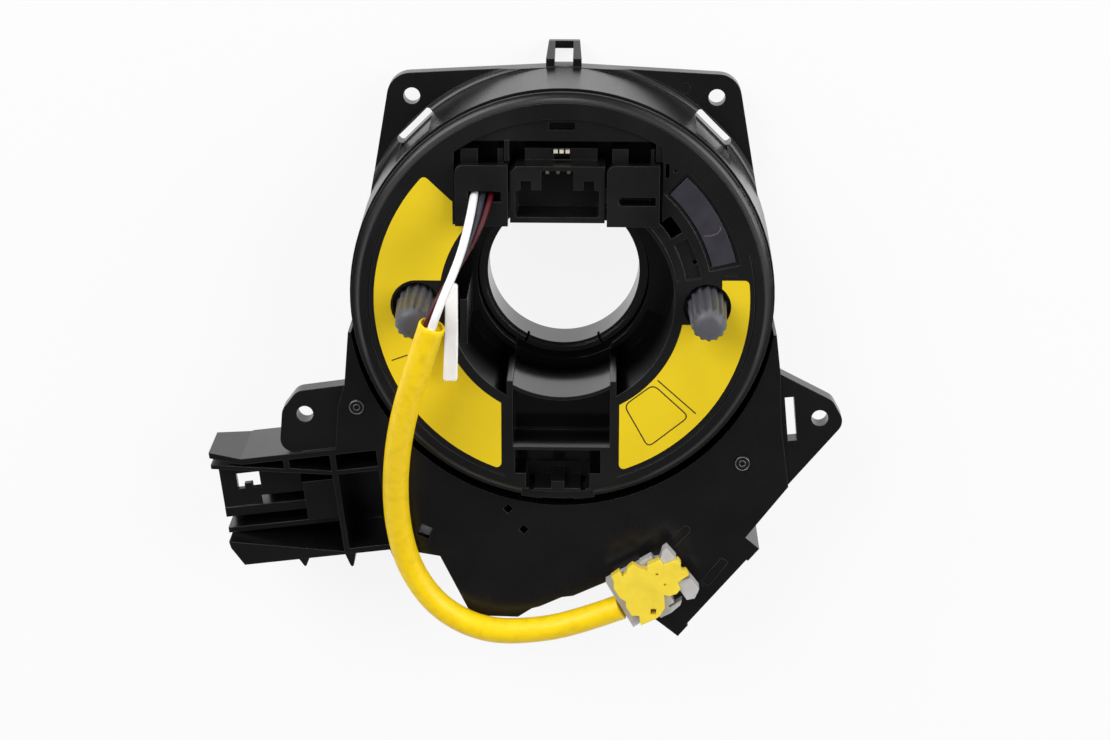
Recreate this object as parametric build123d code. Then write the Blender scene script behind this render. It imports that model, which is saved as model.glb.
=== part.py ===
from build123d import *
import math
import os

# Steering clock spring. Millimetres, +Z along the column towards the wheel, +Y towards the
# upper mounting flange. The origin is on the column axis at the back plane of that flange.

# Column bore and hub sleeve
bore_radius = 19.4
sleeve_wall = 2.2
sleeve_front = 5.0
sleeve_back = -7.5
sleeve_slit_width = 0.7
sleeve_slit_depth = 3.2
sleeve_slit_angles = (38, 142, 242.4, 297.6)
retainer_thickness = 1.6
running_gap = 0.3

# Rotor
rotor_overhang = 1.4
rim_low = 29.2
rim_round = 2.2
face_level = 33.0
face_thickness = 2.0
hub_wall_radius = 29.5
hub_wall = 1.7
web_level = 20.0
web_thickness = 1.5
skirt_wall = 1.5
pot_shelf_level = 9.0
pot_floor_level = 2.0
pot_floor_thickness = 2.0
pot_shelf_start = -21.0
pot_shelf_end = 201.0
step_wall = 1.4
face_groove_inset = 4.6
face_groove_right = 15.0
face_groove_left = 151.0
face_groove_width = 0.35
face_groove_depth = 0.35

# Top bay of the rotor, which holds the wheel-side connectors
bay_left = -26.2
bay_right = 24.4
bay_bottom = 20.0
bay_inset = 6.2
bay_shelf_y = 40.2
bay_shelf_drop = 1.0

# Bottom channel of the rotor
channel_half_width = 12.1
channel_wall = 1.5
channel_top = -20.5
scoop_gap = 2.7
scoop_wall = 0.9
pocket_wall_y = -37.8
pocket_wall = 0.8
keyway_shift = -0.9
keyway_half_width = 10.7
keyway_inset = 7.2
keyway_step_half_width = 8.0
keyway_end_inset = 3.2
keyway_depth = 11.0
keyway_bump_half_width = 1.6
keyway_notches = (-6.6, 6.4)
keyway_notch_width = 1.3
tab_half_angle = 10.2
tab_step = 0.25
tab_recess_half_angle = 4.4

# Wheel drive pegs
peg_spacing = 71.4
peg_y = -1.0
peg_top = 49.4
peg_base_radius = 4.9
peg_tip_radius = 4.4
peg_flutes = 14
peg_flute_radius = 0.5
peg_flute_sides = 6
peg_recess_radius = 5.8
peg_recess_depth = 3.0
peg_dome = 2.6
peg_dome_radius = 5.2
peg_dome_flat = 1.2
peg_boss_radius = 7.6
peg_boss_thickness = 2.6
peg_spigot_radius = 2.3
peg_spigot_clearance = 0.15

# Labels and inspection window
label_inner_gap = 0.7
label_peg_land = 4.7
label_peg_gap = 0.6
label_peg_side = 3.6
label_peg_step = -4.6
label_thickness = 0.15
label_corner_round = 1.2
label_left_start = 136.5
label_left_edge = -15.0
label_right_top = 5.8
label_right_edge = 14.4
window_middle_radius = 40.85
window_width = 5.9
window_start = 14.0
window_end = 46.3
window_thickness = 1.2
window_proud = 0.1
window_gap = 0.25
window_frame = 0.9
window_frame_angle = 1.5
window_frame_depth = 0.45

# Housing drum and upper flange
drum_inner_radius = 50.6
drum_wall_top = 1.9
drum_wall_base = 2.3
drum_top_gap = 0.6
drum_cove = 1.6
flange_thickness = 4.0
flange_corner_x = 43.6
flange_corner_y = 50.7
flange_crown_y = 53.0
flange_foot_x = 50.4
flange_foot_y = 12.0
flange_corner_round = 6.0
floor_thickness = 2.5
floor_hole_gap = 3.5
retainer_overlap = 2.5
mount_hole_radius = 2.1
upper_hole_spacing = 76.5
upper_hole_y = 45.1
lower_hole_spacing = 129.7
lower_hole_y = -32.0
latch_slot_length = 11.6
latch_slot_width = 2.1
latch_slot_round = 0.8
latch_slot_gap = 2.7
latch_slot_angles = (45.2, 134.8)
latch_recess_depth = 0.9

# Harness eye on the crown of the flange
eye_width_front = 9.0
eye_width_back = 7.6
eye_arm = 1.5
eye_low_y = 51.4
eye_high_y = 54.8
eye_back_high_y = 57.4
eye_front = 4.6
eye_back = -7.5
eye_bar = 2.0
eye_back_bar = 2.4
eye_shift = -0.1

# Lower body
cover_level = 27.0
cover_plate = 2.5
body_back = 5.0
body_wall = 1.8
body_layout_radius = 52.9
trench_width = 0.3
cutout_shift = 2.4
cutout_wall = 1.6
trench_floor = 7.0
ear_front = 26.0
ear_thickness = 5.0
ear_slot_width = 2.3
ear_slot_length = 11.6
sight_hole_size = 3.2

# Connector shroud at the left, in a frame turned about the column axis
shroud_turn = 7.0
shroud_left = -94.0
shroud_right = -49.8
shroud_top = -33.7
shroud_flare = 2.6
shroud_flare_length = 7.8
shroud_bottom = -62.4
shroud_wall = 1.5
shroud_cavity_right = -51.7
shroud_shelf = -39.5
shroud_shelf_rise = 5.1
shroud_shelf_wall = 1.1
shroud_rib = 1.4
shroud_ribs = (-74.8, -62.9)
shroud_divider = -62.9
shroud_floor = 2.0
shroud_pocket_floor = 4.0
shroud_panel_level = 18.0
shroud_panel = 1.8
shroud_panel_right = -72.8
shroud_panel_bottom = -46.5
shroud_panel_skirt = (-84.0, -49.2)
shroud_rails = ((-51.4, -48.9), (-55.8, -54.4))
shroud_rail_level = 20.0
shroud_key = (-72.0, -64.1, -53.2, -42.7)
shroud_key_level = 24.0
shroud_sill_left = -55.6
shroud_sill_right = -61.6
shroud_fin_base = 2.8
shroud_fin_tip = 0.5
shroud_fin_depth = 9.0
shroud_fins = ((-74.2, 2.2), (-62.2, 3.6), (-50.6, 4.2))

# Column connector at the lower right
socket_corner_low = (30.1, -91.6)
socket_corner_high = (50.5, -67.1)
socket_depth = 23.9
socket_back = 8.5
socket_wall = 1.8
socket_cavity = 15.0
socket_insert = 3.0
socket_pin_count = 6
socket_pin_pitch = 3.6
socket_pin_width = 0.8
socket_pin_length = 6.5
socket_mark_places = ((-16.7, 4.9, 7.3, 1.6), (-4.45, 3.8, 9.6, 2.0))

# Back of the housing
cover_plate_back = 2.0
back_plate_top = -2.5
back_plate_thickness = 2.0
spigot_inset = 4.6
spigot_wall = 2.5
spigot_face = -8.0
back_collar_wall = 1.8
back_rib_count = 12
back_rib_width = 1.4
back_rib_face = -7.0
back_rib_offset = 7.0
back_plate_rib_height = 1.2
back_plate_gap = 0.3
back_plate_ribs = ((0.0, 16.0), (-20.0, 15.0), (24.0, 8.0))
back_plate_rib_reach = 40.0
screw_circle_gap = 5.0
screw_boss_radius = 3.2
screw_head_radius = 2.6
screw_head_height = 1.7
screw_shank_radius = 1.3
screw_pilot_radius = 1.3
screw_depth = 3.6
screw_drive_radius = 1.1
screw_drive_share = 0.6
case_screw_places = ((-51.6, -29.6), (45.6, -43.8))
case_screw_head_radius = 2.0
case_screw_head_height = 0.6
case_screw_shank_radius = 1.0
case_screw_boss_radius = 3.0

# Flat cable and its slide films
cable_inner_gap = 1.7
cable_outer_gap = 1.9
cable_turns = 4
cable_thickness = 0.35
cable_height = 14.5
film_thickness = 0.3
film_gap = 0.3

# Wheel-side connector group in the bay
lead_cover_front = 37.0
lead_cover_plate = 2.6
lead_cover_low = 20.2
lead_cover_high = 35.3
lead_cover_round = 2.0
left_cover_x = (-25.8, -13.0)
right_cover_x = (10.9, 23.6)
cover_body_inset = 1.2
cover_body_low = 27.6
cover_body_high = 33.6
cover_cheek_widths = ((4.2, 1.4), (3.9, 0.9))
lead_slot_y = (26.3, 28.9)
lead_slot_left = (3.2, 11.3)
blank_slot_y = (25.5, 27.6)
blank_slot_right = (0.9, 9.9)
back_cover_overlap = 0.2
lead_slot_depth = 5.6
wheel_socket_x = (-12.5, 10.4)
wheel_socket_y = (20.9, 34.9)
wheel_socket_front = 36.0
wheel_socket_cavity = 11.0
wheel_socket_tongue = 9.4
wheel_socket_tongue_sides = (3.4, 1.9)
wheel_socket_tongue_y = 37.9
wheel_socket_round = 0.7
wheel_socket_chamfer = 1.5
terminal_shift = -0.15
terminal_pitch = 1.45
pillar_x = ((-14.0, -12.8), (22.7, 24.6))
pillar_low_y = 35.2

# Leads, yellow sleeve and plug
white_lead_radius = 1.0
red_lead_radius = 0.65
grey_lead_radius = 0.75
lead_start = lead_cover_front - lead_slot_depth
lead_last_run = 6.0
leads = [
    ("white_lead", white_lead_radius, [
        (-21.1, 27.7, lead_start), (-21.1, 27.7, 38.8), (-22.0, 22.8, 45.2),
        (-24.2, 15.0, 49.6)], 0.0, 1.5),
    ("red_lead", red_lead_radius, [
        (-17.0, 27.7, lead_start), (-17.0, 27.7, 38.0), (-19.2, 22.0, 43.2),
        (-22.6, 14.2, 47.6)], -1.2, -0.9),
    ("grey_lead", grey_lead_radius, [
        (-19.0, 27.7, lead_start), (-19.0, 27.7, 37.8), (-21.0, 22.0, 42.6),
        (-24.9, 14.0, 46.9)], 1.2, -0.9),
]
sleeve_tube_radius = 3.25
bend_share = 0.45
plug_place = (15.65, -78.9)
plug_turn = 30.0
plug_base = 27.3
plug_nose_radius = 4.5
plug_nose_height = 4.0
plug_carrier_height = 3.4
plug_cover_height = 2.4

# Lock strap
strap_from_peg = 8.5
strap_crease_y = -7.6
strap_top_y = 4.8
strap_end_y = -18.9
strap_rise = 4.4
strap_width = 3.3
strap_thickness = 1.1

drum_top = rim_low - drum_top_gap
drum_top_radius = drum_inner_radius + drum_wall_top
drum_base_radius = drum_inner_radius + drum_wall_base
cutout_radius = drum_base_radius + trench_width
latch_slot_radius = drum_inner_radius + latch_slot_gap
rotor_radius = drum_inner_radius + rotor_overhang
face_groove_radius = rotor_radius - face_groove_inset
bay_radius = rotor_radius - bay_inset
keyway_y = -(rotor_radius - keyway_inset)
keyway_end_y = -(rotor_radius - keyway_end_inset)
label_inner_radius = hub_wall_radius + label_inner_gap
floor_hole_radius = hub_wall_radius + floor_hole_gap
retainer_radius = floor_hole_radius + retainer_overlap
screw_circle = retainer_radius + screw_circle_gap
spigot_radius = drum_inner_radius - spigot_inset
back_cover_radius = drum_inner_radius + back_cover_overlap
cable_inner_radius = hub_wall_radius + cable_inner_gap
cable_pitch = (drum_inner_radius - cable_outer_gap - cable_inner_radius) / cable_turns
sleeve_radius = bore_radius + sleeve_wall
retainer_top = -0.4
drum_clearance = 0.7
rotor_skirt_radius = drum_inner_radius - drum_clearance
hub_inner_radius = hub_wall_radius - hub_wall
face_back = face_level - face_thickness
web_low = web_level - web_thickness
pot_ring_radius = sleeve_radius + running_gap
scoop_radius = pot_ring_radius + scoop_gap
window_inner_radius = window_middle_radius - window_width / 2
window_outer_radius = window_middle_radius + window_width / 2
label_outer_radius = peg_spacing / 2 + peg_recess_radius + label_peg_land
strap_x = strap_from_peg - peg_spacing / 2
body_growth = drum_base_radius - body_layout_radius
cover_cheek_high = math.sqrt(bay_radius ** 2 - bay_left ** 2) + 0.6


def disc(radius, low, high, x=0.0, y=0.0):
    """A cylinder between two levels."""
    height = high - low
    return Pos(x, y, low + height / 2) * Cylinder(radius, height)


def ring(outer, inner, low, high, x=0.0, y=0.0):
    """A tube between two levels."""
    return disc(outer, low, high, x, y) - disc(inner, low - 1, high + 1, x, y)


def bar(x_low, x_high, y_low, y_high, low, high):
    """A block given by its corners."""
    size = (x_high - x_low, y_high - y_low, high - low)
    centre = ((x_low + x_high) / 2, (y_low + y_high) / 2, (low + high) / 2)
    return Pos(*centre) * Box(*size)


def rounded_bar(x_low, x_high, y_low, y_high, low, high, radius):
    """A block whose upright edges are rounded."""
    block = bar(x_low, x_high, y_low, y_high, low, high)
    return fillet(block.edges().filter_by(Axis.Z), radius)


def placed(x, y):
    """A point of the lower body, kept at its distance outside the foot of the drum."""
    share = 1 + body_growth / math.hypot(x, y)
    return (x * share, y * share)


def slab(points, low, high):
    """A prism over a polygon between two levels."""
    return Pos(0, 0, low) * extrude(Polygon(*points, align=None), high - low, dir=(0, 0, 1))


def polar(radius, angle):
    """A point at a radius and an angle in degrees."""
    return (radius * math.cos(math.radians(angle)), radius * math.sin(math.radians(angle)))


def sector(outer, inner, start, end, low, high):
    """A plate over part of a ring, from one angle to another."""
    edges = [
        CenterArc((0, 0), outer, start, end - start),
        Line(polar(outer, end), polar(inner, end)),
        CenterArc((0, 0), inner, end, start - end),
        Line(polar(inner, start), polar(outer, start)),
    ]
    return Pos(0, 0, low) * extrude(make_face(edges), high - low, dir=(0, 0, 1))


def turned(edges):
    """A solid turned about the column axis from edges drawn as radius and level."""
    return revolve(Plane.XZ * make_face(edges), Axis.Z)


def joined(pieces):
    """One shape fused from a list."""
    whole = pieces[0]
    for piece in pieces[1:]:
        whole = whole + piece
    return whole


def body_outline():
    """Outline of the lower body, seen from the wheel."""
    points = [
        (-53.4, -10.0), (-54.6, -24.0), (-56.4, -30.0), (-57.3, -41.8), (-46.7, -40.4),
        (-43.4, -67.8), (-31.1, -69.9), (-23.1, -86.3), (-11.2, -86.6), (-7.6, -84.2),
        (-5.5, -83.6), (0.1, -81.0), (3.0, -80.6), (11.4, -76.7), socket_corner_low,
        socket_corner_high, (46.8, -64.2), (57.4, -50.2), (55.2, -34.0), (54.6, -20.0),
        (53.4, -10.0),
    ]
    return [placed(x, y) for x, y in points]


def inset(points, amount):
    """The same outline moved inwards by a wall's thickness, with mitred corners."""
    moved = []
    count = len(points)
    for index in range(count):
        before, here = Vector(*points[index - 1]), Vector(*points[index])
        after = Vector(*points[(index + 1) % count])
        first = (here - before).normalized()
        second = (after - here).normalized()
        first_normal = Vector(-first.Y, first.X)
        second_normal = Vector(-second.Y, second.X)
        share = amount / (1 + first_normal.dot(second_normal))
        corner = here + (first_normal + second_normal) * share
        moved.append((corner.X, corner.Y))
    return moved


def case_screw_spots():
    """Where the two case screws stand."""
    return [placed(x, y) for x, y in case_screw_places]


def lower_screw_spots():
    """Where the two lower mounting holes stand."""
    return [placed(side * lower_hole_spacing / 2, lower_hole_y) for side in (-1, 1)]


def sight_holes(low, high):
    """The square sight hole and the two small diamond holes of the lower body."""
    square = bar(-sight_hole_size / 2, sight_hole_size / 2, -sight_hole_size / 2,
                 sight_hole_size / 2, low, high)
    holes = [Pos(*placed(-34.8, -63.2), 0) * Rot(0, 0, -24) * square]
    for x, y in ((-13.6, -56.8), (-9.6, -62.4)):
        diamond = bar(-0.9, 0.9, -0.9, 0.9, low, high)
        holes.append(Pos(*placed(x, y), 0) * Rot(0, 0, 45) * diamond)
    return holes


def socket_frame():
    """Place of the column connector: its origin at the mouth's middle, +X outwards."""
    low = Vector(*placed(*socket_corner_low))
    high = Vector(*placed(*socket_corner_high))
    middle = (low + high) * 0.5
    along = (high - low).normalized()
    heading = math.degrees(math.atan2(-along.X, along.Y))
    return Pos(middle.X, middle.Y, 0) * Rot(0, 0, heading), (high - low).length


def drum():
    """Drum wall, a little thicker at its foot, and the floor that carries the flat cable."""
    wall = [
        Line((drum_inner_radius, 0), (drum_base_radius, 0)),
        Line((drum_base_radius, 0), (drum_base_radius, flange_thickness)),
        Line((drum_base_radius, flange_thickness), (drum_top_radius, drum_top)),
        Line((drum_top_radius, drum_top), (drum_inner_radius, drum_top)),
        Line((drum_inner_radius, drum_top), (drum_inner_radius, 0)),
    ]
    floor = ring(drum_inner_radius + 0.5, floor_hole_radius, 0, floor_thickness)
    bosses = [
        disc(screw_boss_radius, back_plate_top, 0.5, *polar(screw_circle, angle))
        for angle in (45, 135, 225, 315)
    ]
    return joined([turned(wall), floor] + bosses)


def drum_fillet():
    """Rounded corner where the drum wall stands on the flange."""
    foot = flange_thickness + drum_cove
    inner = drum_inner_radius + 0.5
    section = [
        Line((inner, flange_thickness - 0.5), (drum_base_radius + drum_cove, flange_thickness - 0.5)),
        Line((drum_base_radius + drum_cove, flange_thickness - 0.5),
             (drum_base_radius + drum_cove, flange_thickness)),
        RadiusArc((drum_base_radius + drum_cove, flange_thickness), (drum_base_radius, foot),
                  -drum_cove),
        Line((drum_base_radius, foot), (inner, foot)),
        Line((inner, foot), (inner, flange_thickness - 0.5)),
    ]
    return turned(section)


def upper_flange():
    """Flange with rounded corners that carries the two upper screws."""
    outline = Polygon(
        (-flange_corner_x, flange_corner_y), (0, flange_crown_y),
        (flange_corner_x, flange_corner_y), (flange_foot_x, flange_foot_y),
        (-flange_foot_x, flange_foot_y), align=None,
    )
    corners = outline.vertices().sort_by(Axis.Y)[2:4]
    outline = fillet(corners, flange_corner_round)
    plate = extrude(outline, flange_thickness, dir=(0, 0, 1))
    reach = extrude(outline, flange_thickness + drum_cove, dir=(0, 0, 1))
    hollow = disc(drum_inner_radius + 0.5, -1, flange_thickness + drum_cove + 1)
    return (plate + (drum_fillet() & reach)) - hollow


def harness_eye():
    """Loop on the crown of the flange: two arms that run back to a cross bar."""
    side = [
        (eye_low_y, eye_front), (eye_high_y, eye_front), (eye_back_high_y, eye_back + eye_bar),
        (eye_back_high_y, eye_back), (eye_back_high_y - eye_back_bar, eye_back),
        (eye_high_y - 1.6, -1.0), (eye_low_y, 0.2),
    ]
    profile = Plane.YZ * make_face(Polyline(*side, close=True))
    block = extrude(profile, eye_width_front / 2, both=True)
    taper = [
        (-eye_width_front / 2, eye_front + 1), (eye_width_front / 2, eye_front + 1),
        (eye_width_back / 2, eye_back - 1), (-eye_width_back / 2, eye_back - 1),
    ]
    keep = extrude(Plane.XZ * make_face(Polyline(*taper, close=True)), -eye_back_high_y - 2)
    inner = eye_width_back / 2 - eye_arm
    hole = bar(-inner, inner, flange_crown_y, eye_back_high_y - 1.9, eye_back - 1, eye_front + 1)
    gap = bar(-inner, inner, flange_crown_y, eye_back_high_y + 1, eye_back + eye_bar, eye_front + 1)
    return Pos(eye_shift, 0, 0) * ((block & keep) - hole - gap)


def shelf_top(u):
    """Level of the shroud's shelf across its mouth: flat at the right, rising to the left."""
    run = shroud_divider - shroud_left
    return shroud_shelf + shroud_shelf_rise * max(0.0, shroud_divider - u) / run


def shroud_pockets():
    """The three pockets between the top wall and the shelf."""
    inner_top = shroud_top - shroud_wall
    beyond = shroud_left - 1
    half = shroud_rib / 2
    flared = [
        (beyond, shroud_top + shroud_flare - shroud_wall),
        (shroud_left, shroud_top + shroud_flare - shroud_wall),
        (shroud_left + shroud_flare_length, inner_top), (shroud_ribs[0] - half, inner_top),
        (shroud_ribs[0] - half, shelf_top(shroud_ribs[0])), (beyond, shelf_top(beyond)),
    ]
    middle = [
        (shroud_ribs[0] + half, inner_top), (shroud_ribs[1] - half, inner_top),
        (shroud_ribs[1] - half, shelf_top(shroud_ribs[1])),
        (shroud_ribs[0] + half, shelf_top(shroud_ribs[0])),
    ]
    last = [
        (shroud_ribs[1] + half, inner_top), (shroud_cavity_right, inner_top),
        (shroud_cavity_right, shroud_shelf), (shroud_ribs[1] + half, shroud_shelf),
    ]
    floor = body_back + shroud_pocket_floor
    return [slab(points, floor, cover_level + 1) for points in (flared, middle, last)]


def shroud_cavities():
    """The two cavities below the shelf, the left one open at its end."""
    beyond = shroud_left - 1
    near = shroud_divider - shroud_rib / 2
    far = shroud_divider + shroud_rib / 2
    left = [
        (beyond, shelf_top(beyond) - shroud_shelf_wall), (near, shelf_top(near) - shroud_shelf_wall),
        (near, shroud_sill_right), (shroud_left + 1.2, shroud_sill_left),
        (beyond, shroud_sill_left),
    ]
    under_shelf = shroud_shelf - shroud_shelf_wall
    right = [
        (far, under_shelf), (shroud_cavity_right, under_shelf),
        (shroud_cavity_right, shroud_bottom + shroud_wall), (far, shroud_bottom + shroud_wall),
    ]
    floor = body_back + shroud_floor
    return [slab(points, floor, cover_level + 1) for points in (left, right)]


def shroud_inside():
    """Latch panel with its window, the two rails and the raised key block."""
    skirt_right, skirt_bottom = shroud_panel_skirt
    start = shroud_left + 0.4
    panel = slab([
        (start, shelf_top(start) - 0.3), (shroud_panel_right, shelf_top(shroud_panel_right) - 0.3),
        (shroud_panel_right, shroud_panel_bottom), (skirt_right, shroud_panel_bottom),
        (skirt_right, skirt_bottom), (start, skirt_bottom),
    ], shroud_panel_level, shroud_panel_level + shroud_panel)
    window = bar(-89.4, -83.4, -44.2, -40.0, 0, cover_level)
    window -= bar(-87.6, -85.6, -44.3, -42.9, 0, cover_level)
    rails = [bar(start, shroud_divider, low, high, body_back + 1, shroud_rail_level)
             for low, high in shroud_rails]
    key_left, key_right, key_low, key_high = shroud_key
    key = bar(key_left, key_right, key_low, key_high, shroud_panel_level - 1, shroud_key_level)
    return joined([panel - window, key] + rails)


def shroud_fin(u, drop):
    """Tapered fin below the shroud."""
    half, tip = shroud_fin_base / 2, shroud_fin_tip
    points = [
        (u - half, shroud_bottom + 0.5), (u + half, shroud_bottom + 0.5), (u + half, shroud_bottom),
        (u + tip, shroud_bottom - drop + 0.5), (u + 0.2, shroud_bottom - drop),
        (u - 0.2, shroud_bottom - drop), (u - tip, shroud_bottom - drop + 0.5),
        (u - half, shroud_bottom),
    ]
    return slab(points, cover_level - shroud_fin_depth, cover_level - 0.4)


def shroud():
    """Open connector shroud at the left, with its shelf, ribs, rails and latch window."""
    left, right, top, bottom = shroud_left, shroud_right, shroud_top, shroud_bottom
    outline = [
        (left, top + shroud_flare), (left + shroud_flare_length, top), (right, top),
        (right, bottom), (left + 4.4, bottom), (left + 1.6, bottom + 5.0),
        (left + 1.2, bottom + 7.6), (left, bottom + 7.6),
    ]
    block = slab(outline, body_back, cover_level)
    for tool in shroud_pockets() + shroud_cavities():
        block -= tool
    block += shroud_inside()
    block -= bar(left - 1, left + 9.8, -51.0, -43.6, 0, body_back + shroud_floor + 0.5)
    flare_cut = [(left - 1, 0), (left + 8.5, 0), (left + 8.5, body_back), (left - 1, 12.2)]
    under = extrude(Plane.XZ * make_face(Polyline(*flare_cut, close=True)), 8, both=True)
    block -= Pos(0, top + 1, 0) * under
    for u, drop in shroud_fins:
        block += shroud_fin(u, drop)
    corner = (-46.7, -40.4)
    moved = Vector(*placed(*corner)) - Vector(*corner)
    return Pos(moved.X, moved.Y, 0) * Rot(0, 0, shroud_turn) * block


def ears():
    """The two lower mounting ears."""
    left_points = ((-53.5, -24.1), (-66.8, -26.0), (-70.6, -31.0), (-71.6, -42.5), (-53.5, -41.0))
    right_points = ((53.0, -19.6), (68.0, -27.4), (71.2, -33.2), (57.2, -50.2), (53.0, -50.2))
    left = Polygon(*[placed(x, y) for x, y in left_points], align=None)
    left = fillet(left.vertices().sort_by(Axis.X)[:3], 3.4)
    right = Polygon(*[placed(x, y) for x, y in right_points], align=None)
    right = fillet(right.vertices().sort_by(Axis.X)[-2:], 3.6)
    return [Pos(0, 0, ear_front - ear_thickness) * extrude(face, ear_thickness, dir=(0, 0, 1))
            for face in (left, right)]


def column_socket():
    """Block at the lower right whose mouth takes the column-side connector."""
    place, length = socket_frame()
    half = length / 2
    block = bar(-socket_depth, 0, -half, half, socket_back, cover_level)
    block = fillet(block.edges().filter_by(Axis.Z).sort_by(Axis.X)[-2:], 0.7)
    cavity = bar(-socket_cavity, 1, -half + socket_wall, half - socket_wall,
                 socket_back + socket_wall, cover_level - socket_wall)
    step = bar(-0.5, 1, -half + 4.0, half - 4.4, cover_level - socket_wall - 0.1, cover_level + 1)
    return place * block, place * (cavity + step)


def socket_marks():
    """Two shallow latch outlines with round ends on the front of the column connector."""
    place, _ = socket_frame()
    marks = []
    for depth, shift, length, width in socket_mark_places:
        outer = SlotOverall(length, width, rotation=90)
        inner = SlotOverall(length - 0.6, width - 0.6, rotation=90)
        groove = extrude(outer - inner, 1.5, dir=(0, 0, 1))
        marks.append(place * Pos(depth, shift, cover_level - 0.5) * groove)
    return marks


def stator_housing():
    """The moulded housing: drum, upper flange, lower body, ears, shroud and socket."""
    outline = body_outline()
    solid = slab(outline, body_back, cover_level)
    hollow = slab(inset(outline, body_wall), body_back - 1, cover_level - cover_plate)
    socket_block, socket_hollow = column_socket()
    shell = (solid - hollow) + socket_block
    shell += shroud()
    cutout = disc(cutout_radius, body_back - 1, cover_level + 1, 0, -cutout_shift)
    shell -= cutout
    rim_wall = ring(cutout_radius + cutout_wall, cutout_radius, body_back, cover_level, 0,
                    -cutout_shift) & solid
    trench = disc(cutout_radius + 0.5, body_back, trench_floor, 0, -cutout_shift) & solid
    trench -= disc(drum_inner_radius + 0.5, 0, cover_level)
    bosses = [disc(case_screw_boss_radius, body_back, cover_level - 1, x, y)
              for x, y in case_screw_spots()]
    shell = joined([shell, rim_wall, trench] + bosses)
    for plate in ears():
        shell += plate - cutout
    shell -= socket_hollow
    for tool in sight_holes(0, cover_level + 1) + socket_marks():
        shell -= tool
    slot = bar(-ear_slot_width / 2, ear_slot_width / 2, -ear_slot_length / 2,
               ear_slot_length / 2, 0, cover_level + 1)
    shell -= Pos(*placed(57.6, -32.3), 0) * Rot(0, 0, 5.5) * slot
    for x, y in case_screw_spots():
        shell -= disc(case_screw_shank_radius + 0.1, 0, cover_level + 1, x, y)
    housing = joined([drum(), upper_flange(), harness_eye()]) + shell
    for side in (-1, 1):
        housing -= disc(mount_hole_radius, -1, flange_thickness + 1, side * upper_hole_spacing / 2,
                        upper_hole_y)
    for x, y in lower_screw_spots():
        housing -= disc(mount_hole_radius, ear_front - ear_thickness - 1, ear_front + 2, x, y)
    for angle in latch_slot_angles:
        reach = latch_slot_length / 2
        slot = rounded_bar(-latch_slot_width / 2, latch_slot_width / 2, -reach, reach, -1,
                           flange_thickness + drum_cove + 1, latch_slot_round)
        recess = bar(-latch_slot_width, latch_slot_width / 2, -reach, reach, flange_thickness + 1,
                     drum_top - 3)
        across = latch_slot_radius - latch_slot_width / 2 + latch_recess_depth
        housing -= Rot(0, 0, angle) * Pos(across, 0, 0) * slot
        shift = drum_inner_radius + 1.1 + latch_slot_width
        housing -= Rot(0, 0, angle) * Pos(shift, 0, 0) * recess
    for angle in (45, 135, 225, 315):
        housing -= disc(screw_pilot_radius, back_plate_top - 1, floor_thickness - 0.8,
                        *polar(screw_circle, angle))
    return housing


def rear_cover():
    """Round back cover with its spigot, collar and radial ribs."""
    low = back_plate_top - back_plate_thickness
    collar = sleeve_radius + running_gap
    shapes = [
        ring(back_cover_radius, collar, low, back_plate_top),
        ring(back_cover_radius, back_cover_radius - 2.5, low, 0),
        ring(spigot_radius, spigot_radius - spigot_wall, spigot_face, low),
        ring(collar + back_collar_wall, collar, spigot_face + 0.4, low),
    ]
    step = 360 / back_rib_count
    for index in range(back_rib_count):
        rib = bar(collar + 1, spigot_radius - 1, -back_rib_width / 2, back_rib_width / 2,
                  back_rib_face, low)
        shapes.append(Rot(0, 0, index * step) * rib)
    cover = joined(shapes)
    for angle in (45, 135, 225, 315):
        x, y = polar(screw_circle, angle)
        cover -= disc(screw_shank_radius + 0.1, spigot_face, 0, x, y)
        cover -= disc(screw_head_radius + 0.3, spigot_face, low, x, y)
    return cover


def screw(head_radius, head_height, shank_radius, length):
    """Pan-head screw standing on its head's seat at level 0, its head upwards."""
    head = disc(head_radius, 0, head_height)
    rim = head.edges().filter_by(GeomType.CIRCLE).sort_by(Axis.Z)[-1:]
    head = chamfer(rim, head_height * 0.3)
    shank = disc(shank_radius, -length, 0.2)
    share = head_radius / screw_head_radius
    recess = Pos(0, 0, head_height) * extrude(RegularPolygon(screw_drive_radius * share, 6),
                                              -head_height * screw_drive_share)
    return head + shank - recess


def rear_cover_screws():
    """Four screws that hold the round back cover."""
    low = back_plate_top - back_plate_thickness
    body = Rot(180, 0, 0) * screw(screw_head_radius, screw_head_height, screw_shank_radius,
                                  back_plate_thickness + screw_depth)
    return [Pos(*polar(screw_circle, angle), low) * body for angle in (45, 135, 225, 315)]


def lower_rear_cover():
    """Flat back plate of the lower body, with stiffening ribs."""
    low = body_back - cover_plate_back
    outline = body_outline()
    socket = outline.index(placed(*socket_corner_low))
    plate = slab(outline[:socket] + outline[socket + 2:], low, body_back)
    plate -= disc(drum_base_radius + back_plate_gap, low - 1, body_back + 1)
    top, half = -drum_base_radius - back_rib_offset, back_rib_width / 2
    rib_low = low - back_plate_rib_height
    ribs = [bar(-back_plate_rib_reach, back_plate_rib_reach, top - 2 * half, top, rib_low,
                low + 0.2)]
    for x, length in back_plate_ribs:
        ribs.append(bar(x - half, x + half, top - length, top, rib_low, low + 0.2))
    plate = joined([plate] + ribs)
    for tool in sight_holes(low - 3, body_back + 1):
        plate -= tool
    for x, y in case_screw_spots():
        plate -= disc(case_screw_shank_radius + 0.1, low - 1, body_back + 1, x, y)
    return plate


def case_screws():
    """Two small screws that clamp the lower back plate from the front."""
    length = cover_level - body_back + cover_plate_back
    body = screw(case_screw_head_radius, case_screw_head_height, case_screw_shank_radius, length)
    return [Pos(x, y, cover_level) * body for x, y in case_screw_spots()]


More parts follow.
